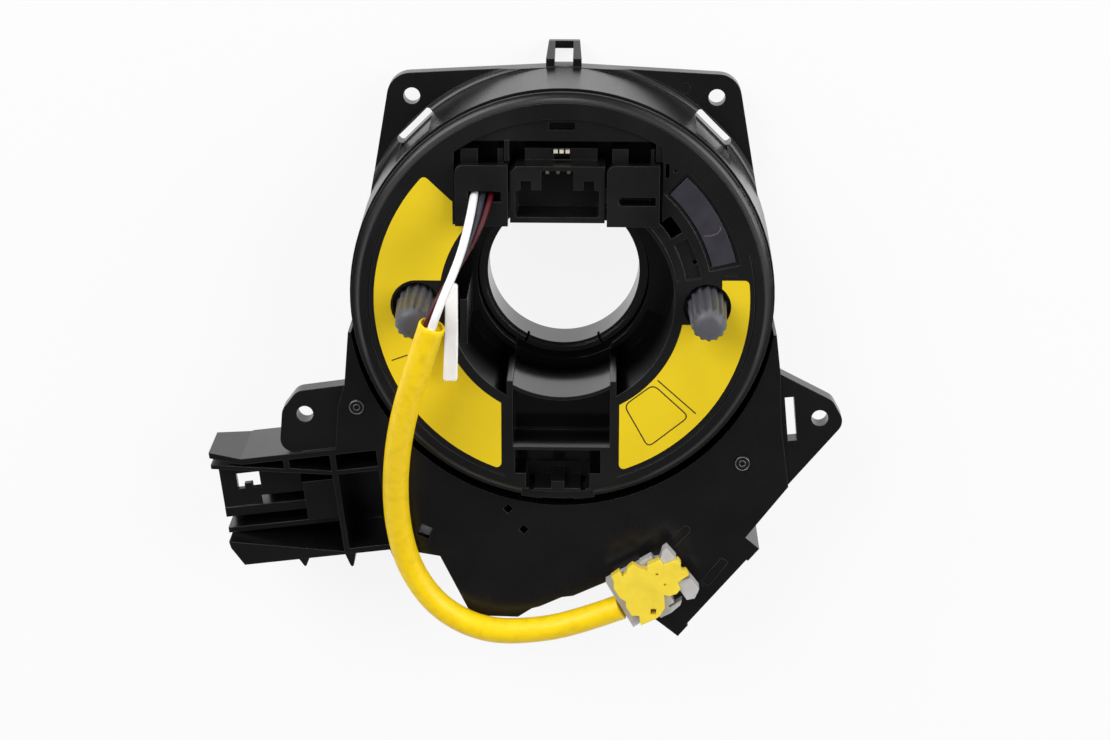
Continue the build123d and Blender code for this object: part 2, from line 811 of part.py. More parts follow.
def column_contacts():
    """Contact carrier at the bottom of the column socket, and its blades."""
    place, length = socket_frame()
    half = length / 2 - socket_wall
    low = socket_back + socket_wall
    high = cover_level - socket_wall
    carrier = bar(-socket_cavity, -socket_cavity + socket_insert, -half, half, low, high)
    blades = []
    for row in (-1, 1):
        level = (low + high) / 2 + row * 3.0
        for index in range(socket_pin_count):
            y = (index - (socket_pin_count - 1) / 2) * socket_pin_pitch
            reach = socket_pin_width / 2
            start = -socket_cavity + socket_insert
            blades.append(place * bar(start, start + socket_pin_length, y - reach, y + reach,
                                      level - reach / 2, level + reach / 2))
    return place * carrier, blades


def flat_cable():
    """Wound flat cable: half-circle arcs whose radius grows by the same step each half turn."""
    low = floor_thickness + film_gap + film_thickness + film_gap
    step = cable_pitch / 2
    outer, inner = [], []
    radius = cable_inner_radius
    for index in range(cable_turns * 2):
        side = 1 if index % 2 == 0 else -1
        centre = 0 if index % 2 == 0 else step
        start = 0 if side == 1 else 180
        outer.append(CenterArc((centre, 0), radius + cable_thickness, start, 180))
        inner.append(CenterArc((centre, 0), radius, start, 180))
        radius += step
    first_outer = outer[0] @ 0
    first_inner = inner[0] @ 0
    last_outer = outer[-1] @ 1
    last_inner = inner[-1] @ 1
    edges = outer + inner + [Line(first_inner, first_outer), Line(last_inner, last_outer)]
    return Pos(0, 0, low) * extrude(make_face(edges), cable_height, dir=(0, 0, 1))


def slide_film(low):
    """Thin slippery ring that the edge of the flat cable runs on."""
    return ring(drum_inner_radius - 1.0, hub_wall_radius + 0.4, low, low + film_thickness)


def hub_sleeve():
    """Column sleeve with its retaining flange and four slits in its front edge."""
    sleeve = ring(sleeve_radius, bore_radius, sleeve_back, sleeve_front)
    flange = ring(retainer_radius, sleeve_radius - 0.5, retainer_top - retainer_thickness,
                  retainer_top)
    sleeve += flange
    lead_in = ring(bore_radius + 0.9, bore_radius, sleeve_front - 0.8, sleeve_front + 1)
    sleeve -= lead_in
    for angle in sleeve_slit_angles:
        slit = bar(bore_radius - 2, sleeve_radius + 2, -sleeve_slit_width / 2,
                   sleeve_slit_width / 2, sleeve_front - sleeve_slit_depth, sleeve_front + 1)
        sleeve -= Rot(0, 0, angle) * slit
    return sleeve


def bay_region(low, high):
    """Prism of the top bay: straight sides, and the face's circle as its outer edge."""
    block = bar(bay_left, bay_right, bay_bottom, bay_radius + 2, low, high)
    return block & disc(bay_radius, low, high)


def peg_places():
    """Where the two drive pegs stand."""
    return [(-peg_spacing / 2, peg_y), (peg_spacing / 2, peg_y)]


def rotor_face():
    """Turned blank of the rotor: face, rolled rim, skirt, web and hub wall."""
    corner = rim_round
    face = [
        Line((hub_inner_radius, retainer_top), (hub_wall_radius, retainer_top)),
        Line((hub_wall_radius, retainer_top), (hub_wall_radius, web_low)),
        Line((hub_wall_radius, web_low), (rotor_skirt_radius, web_low)),
        Line((rotor_skirt_radius, web_low), (rotor_skirt_radius, face_back - 0.2)),
        Line((rotor_skirt_radius, face_back - 0.2), (drum_inner_radius - 0.2, rim_low)),
        Line((drum_inner_radius - 0.2, rim_low), (rotor_radius - 0.6, rim_low)),
        Line((rotor_radius - 0.6, rim_low), (rotor_radius, rim_low + 0.6)),
        Line((rotor_radius, rim_low + 0.6), (rotor_radius, face_level - corner)),
        RadiusArc((rotor_radius, face_level - corner), (rotor_radius - corner, face_level), corner),
        Line((rotor_radius - corner, face_level), (hub_inner_radius, face_level)),
        Line((hub_inner_radius, face_level), (hub_inner_radius, retainer_top)),
    ]
    blank = turned(face)
    hollow = ring(rotor_skirt_radius - skirt_wall, hub_wall_radius, web_level, face_back)
    return blank - hollow


def rotor_pot():
    """Bottom of the pot: a high shelf around the bore and a deep pocket below it."""
    shelf = sector(hub_inner_radius + 0.3, pot_ring_radius, pot_shelf_start, pot_shelf_end,
                   pot_shelf_level - pot_floor_thickness, pot_shelf_level)
    floor = ring(hub_inner_radius + 0.3, pot_ring_radius, pot_floor_level - pot_floor_thickness,
                 pot_floor_level)
    collar = ring(pot_ring_radius + step_wall, pot_ring_radius, pot_floor_level - 0.5,
                  pot_shelf_level)
    steps = []
    for angle in (pot_shelf_start, pot_shelf_end):
        wall = bar(pot_ring_radius + 0.3, hub_inner_radius + 0.3, -step_wall / 2, step_wall / 2,
                   pot_floor_level - 0.5, pot_shelf_level)
        steps.append(Rot(0, 0, angle) * wall)
    return joined([shelf, floor, collar] + steps)


def rotor_channel():
    """Walls of the bottom channel, the curved scoop and the flat wall behind the keyway."""
    outer = channel_half_width + channel_wall
    side_low = web_level - 0.5
    walls = []
    for side in (-1, 1):
        near, far = sorted((side * channel_half_width, side * outer))
        deep = bar(near, far, -hub_wall_radius, channel_top, pot_floor_level - 0.5, face_level)
        deep = deep & disc(hub_wall_radius - 0.5, 0, face_level + 1)
        shallow = bar(near, far, -face_groove_radius - 1, -hub_wall_radius + 3, side_low,
                      face_level - 0.5)
        walls += [deep, shallow]
    scoop = ring(scoop_radius + scoop_wall, scoop_radius, pot_floor_level - 0.5, face_level)
    scoop = scoop & bar(-channel_half_width - 0.5, channel_half_width + 0.5, -scoop_radius - 2,
                        -15, 0, face_level + 1)
    flat = bar(-channel_half_width - 0.5, channel_half_width + 0.5, pocket_wall_y - pocket_wall,
               pocket_wall_y, side_low, face_level)
    return joined(walls + [scoop, flat])


def keyway_cut():
    """Stepped socket between the channel and the rim."""
    low = face_level - keyway_depth
    top = pocket_wall_y - pocket_wall
    cut = bar(-keyway_half_width, keyway_half_width, keyway_y, top, low, face_level + 1)
    cut += bar(-keyway_step_half_width, keyway_step_half_width, keyway_end_y, keyway_y + 0.1, low,
               face_level + 1)
    cut -= bar(-keyway_bump_half_width, keyway_bump_half_width, keyway_end_y - 1,
               keyway_end_y + 1.9, low - 1, face_level + 2)
    for x in keyway_notches:
        cut += bar(x - keyway_notch_width / 2, x + keyway_notch_width / 2, keyway_end_y - 1.0,
                   keyway_end_y + 0.1, low, face_level + 1)
    return Pos(keyway_shift, 0, 0) * cut


def face_marks():
    """Recesses and slots in the right side of the face, beside the window."""
    top = face_level + 1
    return [
        sector(window_outer_radius + window_frame, window_inner_radius - window_frame,
               window_start - window_frame_angle, window_end + window_frame_angle,
               face_level - window_frame_depth, top),
        sector(34.4, 31.2, 31.4, 40.0, face_back - 1, top),
        sector(34.7, 31.0, 10.5, 28.2, face_back + 1.0, top),
        disc(0.6, face_back - 1, top, 32.5, 10.2),
        sector(29.2, 28.8, 11.0, 41.0, face_level - face_groove_depth, top),
        bar(25.0, 25.9, 31.5, 35.0, face_back - 1, top),
        disc(0.45, face_back + 1.0, top, 27.4, 33.3),
        bar(40.3, 42.9, 7.0, 7.3, face_level - face_groove_depth, top),
    ]


def rotor():
    """The moulded rotor that turns with the wheel."""
    body = rotor_face() + rotor_pot()
    keyway_block = bar(-channel_half_width - channel_wall, channel_half_width + channel_wall,
                       -rotor_radius, pocket_wall_y, web_level - 0.5, face_level - 0.5)
    keyway_block = keyway_block & disc(rotor_skirt_radius - 0.2, 0, face_level)
    boss_low = face_level - peg_recess_depth - peg_boss_thickness
    bosses = [disc(peg_boss_radius, boss_low, face_level - 0.5, x, y) for x, y in peg_places()]
    bosses = [boss - disc(hub_wall_radius - 0.5, 0, face_level + 1) for boss in bosses]
    tab = sector(rotor_radius + tab_step, rotor_radius - 2, 269 - tab_half_angle,
                 269 + tab_half_angle, rim_low + 0.2, face_level - 1.4)
    tab -= sector(rotor_radius + tab_step + 1, rotor_radius, 269 - tab_recess_half_angle,
                  269 + tab_recess_half_angle, rim_low - 1, face_level)
    body = joined([body, keyway_block, tab] + bosses)
    body -= bay_region(web_level, face_level + 1)
    channel_cut = bar(-channel_half_width, channel_half_width, pocket_wall_y, -15, web_level,
                      face_level + 1)
    body -= channel_cut
    body -= bar(-channel_half_width, channel_half_width, -hub_inner_radius - 0.1, -15,
                pot_floor_level, face_level + 1) & disc(hub_inner_radius, 0, face_level + 2)
    body += rotor_channel()
    body -= keyway_cut()
    shelf = bar(bay_left + 1, bay_right - 1, bay_shelf_y, bay_radius + 1,
                face_back - 0.5, face_level - bay_shelf_drop) & disc(bay_radius + 1, 0, 40)
    body += shelf
    body -= bar(-3.2, 3.1, bay_radius - 2.8, bay_radius - 1.0, face_back - 2, face_level + 1)
    for x_low, x_high in pillar_x:
        body += bar(x_low, x_high, pillar_low_y, bay_shelf_y + 0.2, web_level - 0.2,
                    face_level - 0.8)
    body -= ring(face_groove_radius + face_groove_width, face_groove_radius,
                 face_level - face_groove_depth, face_level + 1) - sector(
        rotor_radius, face_groove_radius - 1, face_groove_right, face_groove_left, 0,
        face_level + 2) - bar(-channel_half_width - 2, channel_half_width + 2, -rotor_radius, 0, 0,
                              face_level + 2)
    for x, y in peg_places():
        body -= disc(peg_recess_radius, face_level - peg_recess_depth, face_level + 1, x, y)
        body -= disc(peg_spigot_radius + peg_spigot_clearance, boss_low - 1, face_level, x, y)
    body -= sector(window_outer_radius + window_gap, window_inner_radius - window_gap,
                   window_start - 0.4, window_end + 0.4,
                   face_level + window_proud - window_thickness, face_level + 1)
    for tool in face_marks():
        body -= tool
    bracket = bar(strap_x + 2.2, strap_x + 4.0, -10.8, 0.6, pot_shelf_level - 0.5, face_level)
    body += bracket & disc(hub_inner_radius + 0.2, 0, face_level + 1)
    return body


def drive_peg(x, y):
    """Fluted drive peg with a domed end and a spigot that sits in the rotor."""
    base = face_level - peg_recess_depth
    flank = [
        Line((0, base), (peg_base_radius, base)),
        Line((peg_base_radius, base), (peg_tip_radius, peg_top - peg_dome)),
        RadiusArc((peg_tip_radius, peg_top - peg_dome), (peg_dome_flat, peg_top),
                  -peg_dome_radius),
        Line((peg_dome_flat, peg_top), (0, peg_top)),
        Line((0, peg_top), (0, base)),
    ]
    peg = turned(flank)
    section = RegularPolygon(peg_flute_radius, peg_flute_sides)
    groove = Pos(peg_tip_radius + 0.25, 0, base + 2.4) * extrude(section, peg_top - base)
    for index in range(peg_flutes):
        peg -= Rot(0, 0, index * 360 / peg_flutes) * groove
    peg += disc(peg_spigot_radius, base - peg_boss_thickness, base + 0.2)
    return Pos(x, y, 0) * peg


def label_blank(start, end, keep):
    """Part of a ring on the face, cut to a window of it, with its outer corners rounded."""
    top = face_level + label_thickness
    blank = sector(label_outer_radius, label_inner_radius, start, end, face_level, top) & keep
    corners = [edge for edge in blank.edges().filter_by(Axis.Z)
               if abs(math.hypot(edge.center().X, edge.center().Y) - label_outer_radius) < 0.1]
    return fillet(corners, label_corner_round)


def label_left():
    """Plain yellow label on the left of the face, cut out around the peg."""
    x, y = peg_places()[0]
    reach = peg_recess_radius + label_peg_gap
    label = label_blank(label_left_start, 268, bar(-60, label_left_edge, -60, 60, 0, 60))
    label -= bar(bay_left - 0.4, 0, bay_bottom - 0.4, 60, 0, 60)
    label -= disc(reach, 0, 60, x, y)
    return label - bar(x, 0, y - 4.4, y + reach, 0, 60)


def label_right():
    """Plain yellow label on the right of the face, cut square beside the peg."""
    x, y = peg_places()[1]
    label = label_blank(-88, 30, bar(label_right_edge, 60, -60, label_right_top, 0, 60))
    label -= disc(peg_recess_radius + 0.1, 0, 60, x, y)
    return label - bar(0, x + label_peg_side, y + label_peg_step, 20, 0, 60)


def inspection_window():
    """Smoked window let into the face."""
    low = face_level + window_proud - window_thickness
    return sector(window_outer_radius, window_inner_radius, window_start, window_end, low,
                  face_level + window_proud)


def lead_cover(x_low, x_high, mirrored):
    """Front plate with one rounded corner on a hollow foot that stands in the bay."""
    plate_low = lead_cover_front - lead_cover_plate
    plate = bar(x_low, x_high, lead_cover_low, lead_cover_high, plate_low, lead_cover_front)
    corner = plate.edges().filter_by(Axis.Z).sort_by(Axis.X)[:2].sort_by(Axis.Y)[-1:]
    plate = fillet(corner, lead_cover_round)
    inner_low, inner_high = x_low + cover_body_inset, x_high - cover_body_inset
    foot = bar(inner_low, inner_high, cover_body_low, cover_body_high, web_level, plate_low + 0.2)
    near, far = cover_cheek_widths[1 if mirrored else 0]
    cheeks = [bar(start, end, cover_body_high - 0.5, cover_cheek_high, web_level, face_level - 1.5)
              for start, end in ((inner_low, inner_low + near), (inner_high - far, inner_high))]
    neck = bar(x_low + 2.2, x_high - 2.2, lead_cover_low + 1.5, cover_body_low + 0.5,
               plate_low - 3.5, plate_low + 0.2)
    body = joined([plate, foot, neck] + cheeks)
    slot_low, slot_high = x_low + lead_slot_left[0], x_low + lead_slot_left[1]
    y_low, y_high = lead_slot_y
    low = lead_cover_front - lead_slot_depth
    if mirrored:
        slot_low, slot_high = x_high - blank_slot_right[1], x_high - blank_slot_right[0]
        y_low, y_high = blank_slot_y
        half = (y_high - y_low) / 2
        body -= disc(half, low, lead_cover_front + 1, slot_low + half, y_low + half)
        slot_low += half
    return body - bar(slot_low, slot_high, y_low, y_high, low, lead_cover_front + 1)


def wheel_socket():
    """Keyed socket in the middle of the bay."""
    x_low, x_high = wheel_socket_x
    y_low, y_high = wheel_socket_y
    front = wheel_socket_front
    shell = bar(x_low, x_high, y_low, y_high, web_level, front)
    cut = wheel_socket_chamfer
    shell -= slab([(x_low - 1, y_high - cut - 1), (x_low + cut + 1, y_high + 1),
                   (x_low - 1, y_high + 1)], web_level - 1, front + 1)
    inside = disc(hub_inner_radius - running_gap, pot_shelf_level + 3, web_level + 0.1)
    shell += bar(x_low + 2, x_high - 2, y_low, y_high, pot_shelf_level + 4, web_level + 0.1) & inside
    near, far = wheel_socket_tongue_sides
    tongue_top = web_level + wheel_socket_tongue
    tongue = bar(x_low + near, x_high - far, y_high - 0.2, wheel_socket_tongue_y, web_level,
                 tongue_top)
    tongue -= bar(-2.1, 1.9, y_high + 0.2, y_high + 1.7, tongue_top - 3.0, tongue_top + 1)
    low = front - wheel_socket_cavity
    middle = (x_low + x_high) / 2
    cavity = rounded_bar(x_low + 1.3, x_high - 1.3, y_low + 1.4, y_low + 8.1, low, front + 1,
                         wheel_socket_round)
    cavity += bar(middle - 3.9, middle + 3.9, y_low + 7.2, y_high - 1.1, low, front + 1)
    for side in (-1, 1):
        x = middle + side * 7.6
        cavity += bar(x - 1.3, x + 1.3, y_low + 7.2, y_low + 10.4, low, front + 1)
    return shell + tongue - cavity


def socket_terminals():
    """Gilt terminals of the wheel socket: three behind the socket and three inside it."""
    middle = sum(wheel_socket_x) / 2
    low = wheel_socket_front - wheel_socket_cavity
    tongue_top = web_level + wheel_socket_tongue
    pins = []
    for index in range(3):
        x = terminal_shift + (index - 1) * terminal_pitch
        pins.append(bar(x - 0.5, x + 0.5, wheel_socket_tongue_y - 1.1, wheel_socket_tongue_y - 0.2,
                        tongue_top, tongue_top + 1.0))
        spread = middle + (index - 1) * 2.6
        pins.append(bar(spread - 0.4, spread + 0.4, wheel_socket_y[0] + 10.2,
                        wheel_socket_y[0] + 11.0, low, low + 3.0))
    return pins


def lock_strap():
    """White locking strap: it lies on the face and its free end rises from it."""
    low = face_level + label_thickness
    high = low + strap_thickness
    base = bar(-strap_width / 2, strap_width / 2, strap_crease_y - 0.3, strap_top_y, low, high)
    side = [
        (strap_crease_y, low), (strap_crease_y, high), (strap_end_y, high + strap_rise),
        (strap_end_y, low + strap_rise),
    ]
    tail = extrude(Plane.YZ * make_face(Polyline(*side, close=True)), strap_width / 2, both=True)
    return Pos(strap_x, 0, 0) * Rot(0, 0, 1.5) * (base + tail)


def bend_radii(points):
    """Largest tangent arc at each inner point of a route."""
    radii = []
    for before, here, after in zip(points, points[1:], points[2:]):
        incoming = Vector(*here) - Vector(*before)
        outgoing = Vector(*after) - Vector(*here)
        turn = incoming.get_angle(outgoing)
        shorter = min(incoming.length, outgoing.length)
        radii.append(bend_share * shorter / math.tan(math.radians(turn / 2)))
    return radii


def tube(name, points, radius):
    """Round cord of straight runs joined by tangent arcs."""
    radii = bend_radii(points)
    path = FilletPolyline(*points, radius=radii)
    start = path % 0
    section = Plane(origin=points[0], z_dir=start) * Circle(radius)
    cord = sweep(section, path=path)
    expected = math.pi * radius ** 2 * path.length
    print(name, "radii", [round(r, 1) for r in radii], "length", round(path.length, 1),
          "volume ratio", round(cord.volume / expected, 4))
    return cord


sleeve_route = [
    (-30.8, -0.8, 52.6), (-35.0, -13.5, 50.0), (-39.0, -28.0, 45.4), (-41.2, -43.0, 39.6),
    (-41.4, -57.5, 34.6), (-38.8, -71.2, 31.6), (-31.2, -82.9, 30.9), (-19.0, -89.2, 30.8),
    (-4.6, -88.4, 31.0), (6.6, -84.9, 31.8), (15.3, -80.9, 33.0),
]


def lead_route(points, across, up):
    """A lead's points, ended square on the end face of the yellow sleeve."""
    first, second = Vector(*sleeve_route[0]), Vector(*sleeve_route[1])
    along = (second - first).normalized()
    side = along.cross(Vector(0, 0, 1)).normalized()
    rise = side.cross(along)
    end = first + side * across + rise * up
    before = end - along * lead_last_run
    route = points + [tuple(before), tuple(end)]
    print("lead", [tuple(round(v, 2) for v in point) for point in route])
    return route


def plug_outline():
    """Outline of the plug's cover, from the sleeve's side to the horns and back."""
    return [
        (0.4, 5.1), (1.4, 7.0), (1.4, 8.3), (3.9, 8.6), (3.9, 6.9), (5.3, 7.3), (6.0, 8.2),
        (7.7, 8.6), (8.8, 6.6), (10.1, 5.3), (10.9, 6.5), (14.2, 6.4), (14.5, 4.5), (18.4, 4.1),
        (18.5, 2.8), (17.7, 1.9), (17.8, 0.9), (18.7, 0.5), (18.8, -0.9), (15.2, -1.3),
        (15.0, -3.2), (13.6, -3.9), (11.6, -3.6), (10.6, -2.6), (9.1, -5.8), (6.9, -7.1),
        (5.3, -7.3), (1.4, -7.0), (2.3, -4.5), (0.7, -3.6), (0.6, -0.7), (1.3, 0.5), (0.5, 2.1),
    ]


def plug_cover():
    """Yellow cover of the plug."""
    low = plug_base + plug_nose_height + plug_carrier_height
    high = low + plug_cover_height
    cover = slab(plug_outline(), low, high)
    square = Pos(6.0, -5.3, 0) * Rot(0, 0, -30) * bar(-0.7, 0.7, -0.8, 0.8, low - 1, high + 1)
    cover -= square
    for a, b in ((11.8, 3.2), (12.2, -0.3)):
        cover -= disc(0.35, high - 0.6, high + 1, a, b)
    return Pos(*plug_place, 0) * Rot(0, 0, plug_turn) * cover


def plug_carrier():
    """Pale carrier of the plug: nose, body, two latch wings and two keyed horns."""
    low = plug_base + plug_nose_height
    high = low + plug_carrier_height
    body = [(-1.0, -7.4), (7.5, -6.8), (9.6, -4.6), (12.4, -4.6), (14.6, -2.6), (17.0, -1.0),
            (17.0, 3.4), (13.8, 4.2), (13.6, 5.6), (9.6, 5.6), (7.5, 6.8), (-1.0, 6.8)]
    wings = (
        [(7.8, 5.4), (9.0, 7.1), (12.4, 7.2), (12.6, 6.2), (9.9, 5.8), (9.4, 4.0)],
        [(6.0, -6.0), (6.2, -8.8), (9.3, -8.9), (12.3, -8.2), (13.3, -7.2), (9.6, -7.4), (9.4, -6.0)],
    )
    horns = (
        [(13.8, 4.0), (14.0, 5.7), (15.9, 7.6), (17.2, 7.8), (17.9, 4.1)],
        [(14.7, -1.4), (18.4, -2.2), (18.9, -6.0), (16.7, -7.6), (14.8, -7.0), (14.6, -4.0),
         (13.6, -3.6)],
    )
    shapes = [slab(body, low, high), disc(plug_nose_radius, plug_base, low + 0.5, 11.0, 0)]
    shapes.append(bar(0.4, 8.0, -5.4, 5.4, plug_base, low + 0.5))
    shapes.append(bar(9.0, 11.4, -6.6, -4.0, low, high))
    shapes += [slab(wing, low, high - 0.6) for wing in wings]
    shapes += [slab(horn, low + 0.8, high + 1.4) for horn in horns]
    return Pos(*plug_place, 0) * Rot(0, 0, plug_turn) * (
        joined(shapes) - slab(plug_outline(), high, high + 9))


def save(name, shape):
    """Writes one node; several separate solids stay separate in it."""
    if isinstance(shape, list):
        shape = Compound(children=[piece.solid() for piece in shape])
    shape.label = name
    export_step(shape, os.path.join("parts", name + ".step"))


os.makedirs("parts", exist_ok=True)
carrier, blades = column_contacts()
left_peg, right_peg = peg_places()
film_low = floor_thickness + film_gap
save("stator_housing", stator_housing())
save("rear_cover", rear_cover())
save("rear_cover_screws", rear_cover_screws())
save("lower_rear_cover", lower_rear_cover())
save("case_screws", case_screws())
save("column_contact_carrier", carrier)
save("column_contact_blades", blades)
save("flat_cable", flat_cable())
save("lower_slide_film", slide_film(film_low))
save("upper_slide_film", slide_film(web_low - film_gap - film_thickness))
save("hub_sleeve", hub_sleeve())
save("rotor", rotor())
save("left_drive_peg", drive_peg(*left_peg))
save("right_drive_peg", drive_peg(*right_peg))
save("left_label", label_left())
save("right_label", label_right())
save("inspection_window", inspection_window())
save("lead_cover", lead_cover(*left_cover_x, False))
save("blank_lead_cover", lead_cover(*right_cover_x, True))
save("wheel_socket", wheel_socket())
save("socket_terminals", socket_terminals())
save("lock_strap", lock_strap())
for name, radius, points, across, up in leads:
    save(name, tube(name, lead_route(points, across, up), radius))
save("yellow_sleeve", tube("yellow sleeve", sleeve_route, sleeve_tube_radius))
save("plug_cover", plug_cover())
save("plug_carrier", plug_carrier())
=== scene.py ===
import logging
import math
from dataclasses import dataclass
from enum import Enum

import bmesh
import bpy
from mathutils import Matrix, Vector


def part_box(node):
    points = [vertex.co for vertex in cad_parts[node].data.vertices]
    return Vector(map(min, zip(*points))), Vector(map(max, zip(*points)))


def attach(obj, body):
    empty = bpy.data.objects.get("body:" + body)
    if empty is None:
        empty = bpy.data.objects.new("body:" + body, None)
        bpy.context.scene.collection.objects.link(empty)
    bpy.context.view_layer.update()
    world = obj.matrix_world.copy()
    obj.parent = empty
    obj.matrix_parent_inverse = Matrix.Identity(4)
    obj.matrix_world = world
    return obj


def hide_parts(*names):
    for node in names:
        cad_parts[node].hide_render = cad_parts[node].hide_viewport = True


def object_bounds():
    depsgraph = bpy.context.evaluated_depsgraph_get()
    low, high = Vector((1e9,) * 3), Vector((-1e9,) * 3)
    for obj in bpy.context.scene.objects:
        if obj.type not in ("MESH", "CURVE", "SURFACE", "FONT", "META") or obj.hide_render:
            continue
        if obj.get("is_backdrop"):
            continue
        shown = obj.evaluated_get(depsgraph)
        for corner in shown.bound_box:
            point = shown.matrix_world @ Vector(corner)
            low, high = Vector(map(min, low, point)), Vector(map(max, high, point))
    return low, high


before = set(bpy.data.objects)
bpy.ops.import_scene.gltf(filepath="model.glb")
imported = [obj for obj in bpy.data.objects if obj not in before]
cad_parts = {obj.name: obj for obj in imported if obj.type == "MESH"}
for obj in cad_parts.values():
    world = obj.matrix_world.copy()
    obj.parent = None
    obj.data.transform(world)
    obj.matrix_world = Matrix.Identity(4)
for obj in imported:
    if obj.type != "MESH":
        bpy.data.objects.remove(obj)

LOG = logging.getLogger("clock_spring")
MM = 0.001

Colour = tuple[float, float, float]
Point = tuple[float, float, float]
Outline = tuple[tuple[float, float], ...]
Faces = list[tuple[int, ...]]
Socket = bpy.types.NodeSocket


def scaled(colour: Colour, gain: float) -> Colour:
    """Colour made deeper or paler, never above 1.

    Args:
        colour: The colour.
        gain: Factor on each channel.

    Returns:
        The changed colour.
    """
    return tuple(min(1.0, channel * gain) for channel in colour)


class Body(Enum):
    """The two bodies that pieces ride on."""

    STATOR = "stator"
    ROTOR = "rotor"


class Slot(Enum):
    """Material slots of the record, passed along with some added pieces but not read."""

    BLACK = "black_moulding"
    CONNECTOR = "black_connector"
    PEG = "grey_peg"
    WINDOW = "smoked_window"
    LABEL = "yellow_label"
    TUBE = "yellow_tube"
    WHITE = "white_moulding"
    WHITE_WIRE = "white_insulation"
    RED_WIRE = "red_insulation"
    GREY_WIRE = "grey_insulation"
    SCREW = "screw_steel"


class Spread(Enum):
    """Part of a noise's range that a pattern is drawn from."""

    BROAD = (0.3, 0.7)
    MIDDLE = (0.35, 0.65)
    TARNISHED = (0.35, 0.7)
    HANDLED = (0.35, 0.6)
    MARKED = (0.45, 0.8)
    STAINED = (0.55, 0.8)
    SPECKS = (0.6, 0.78)


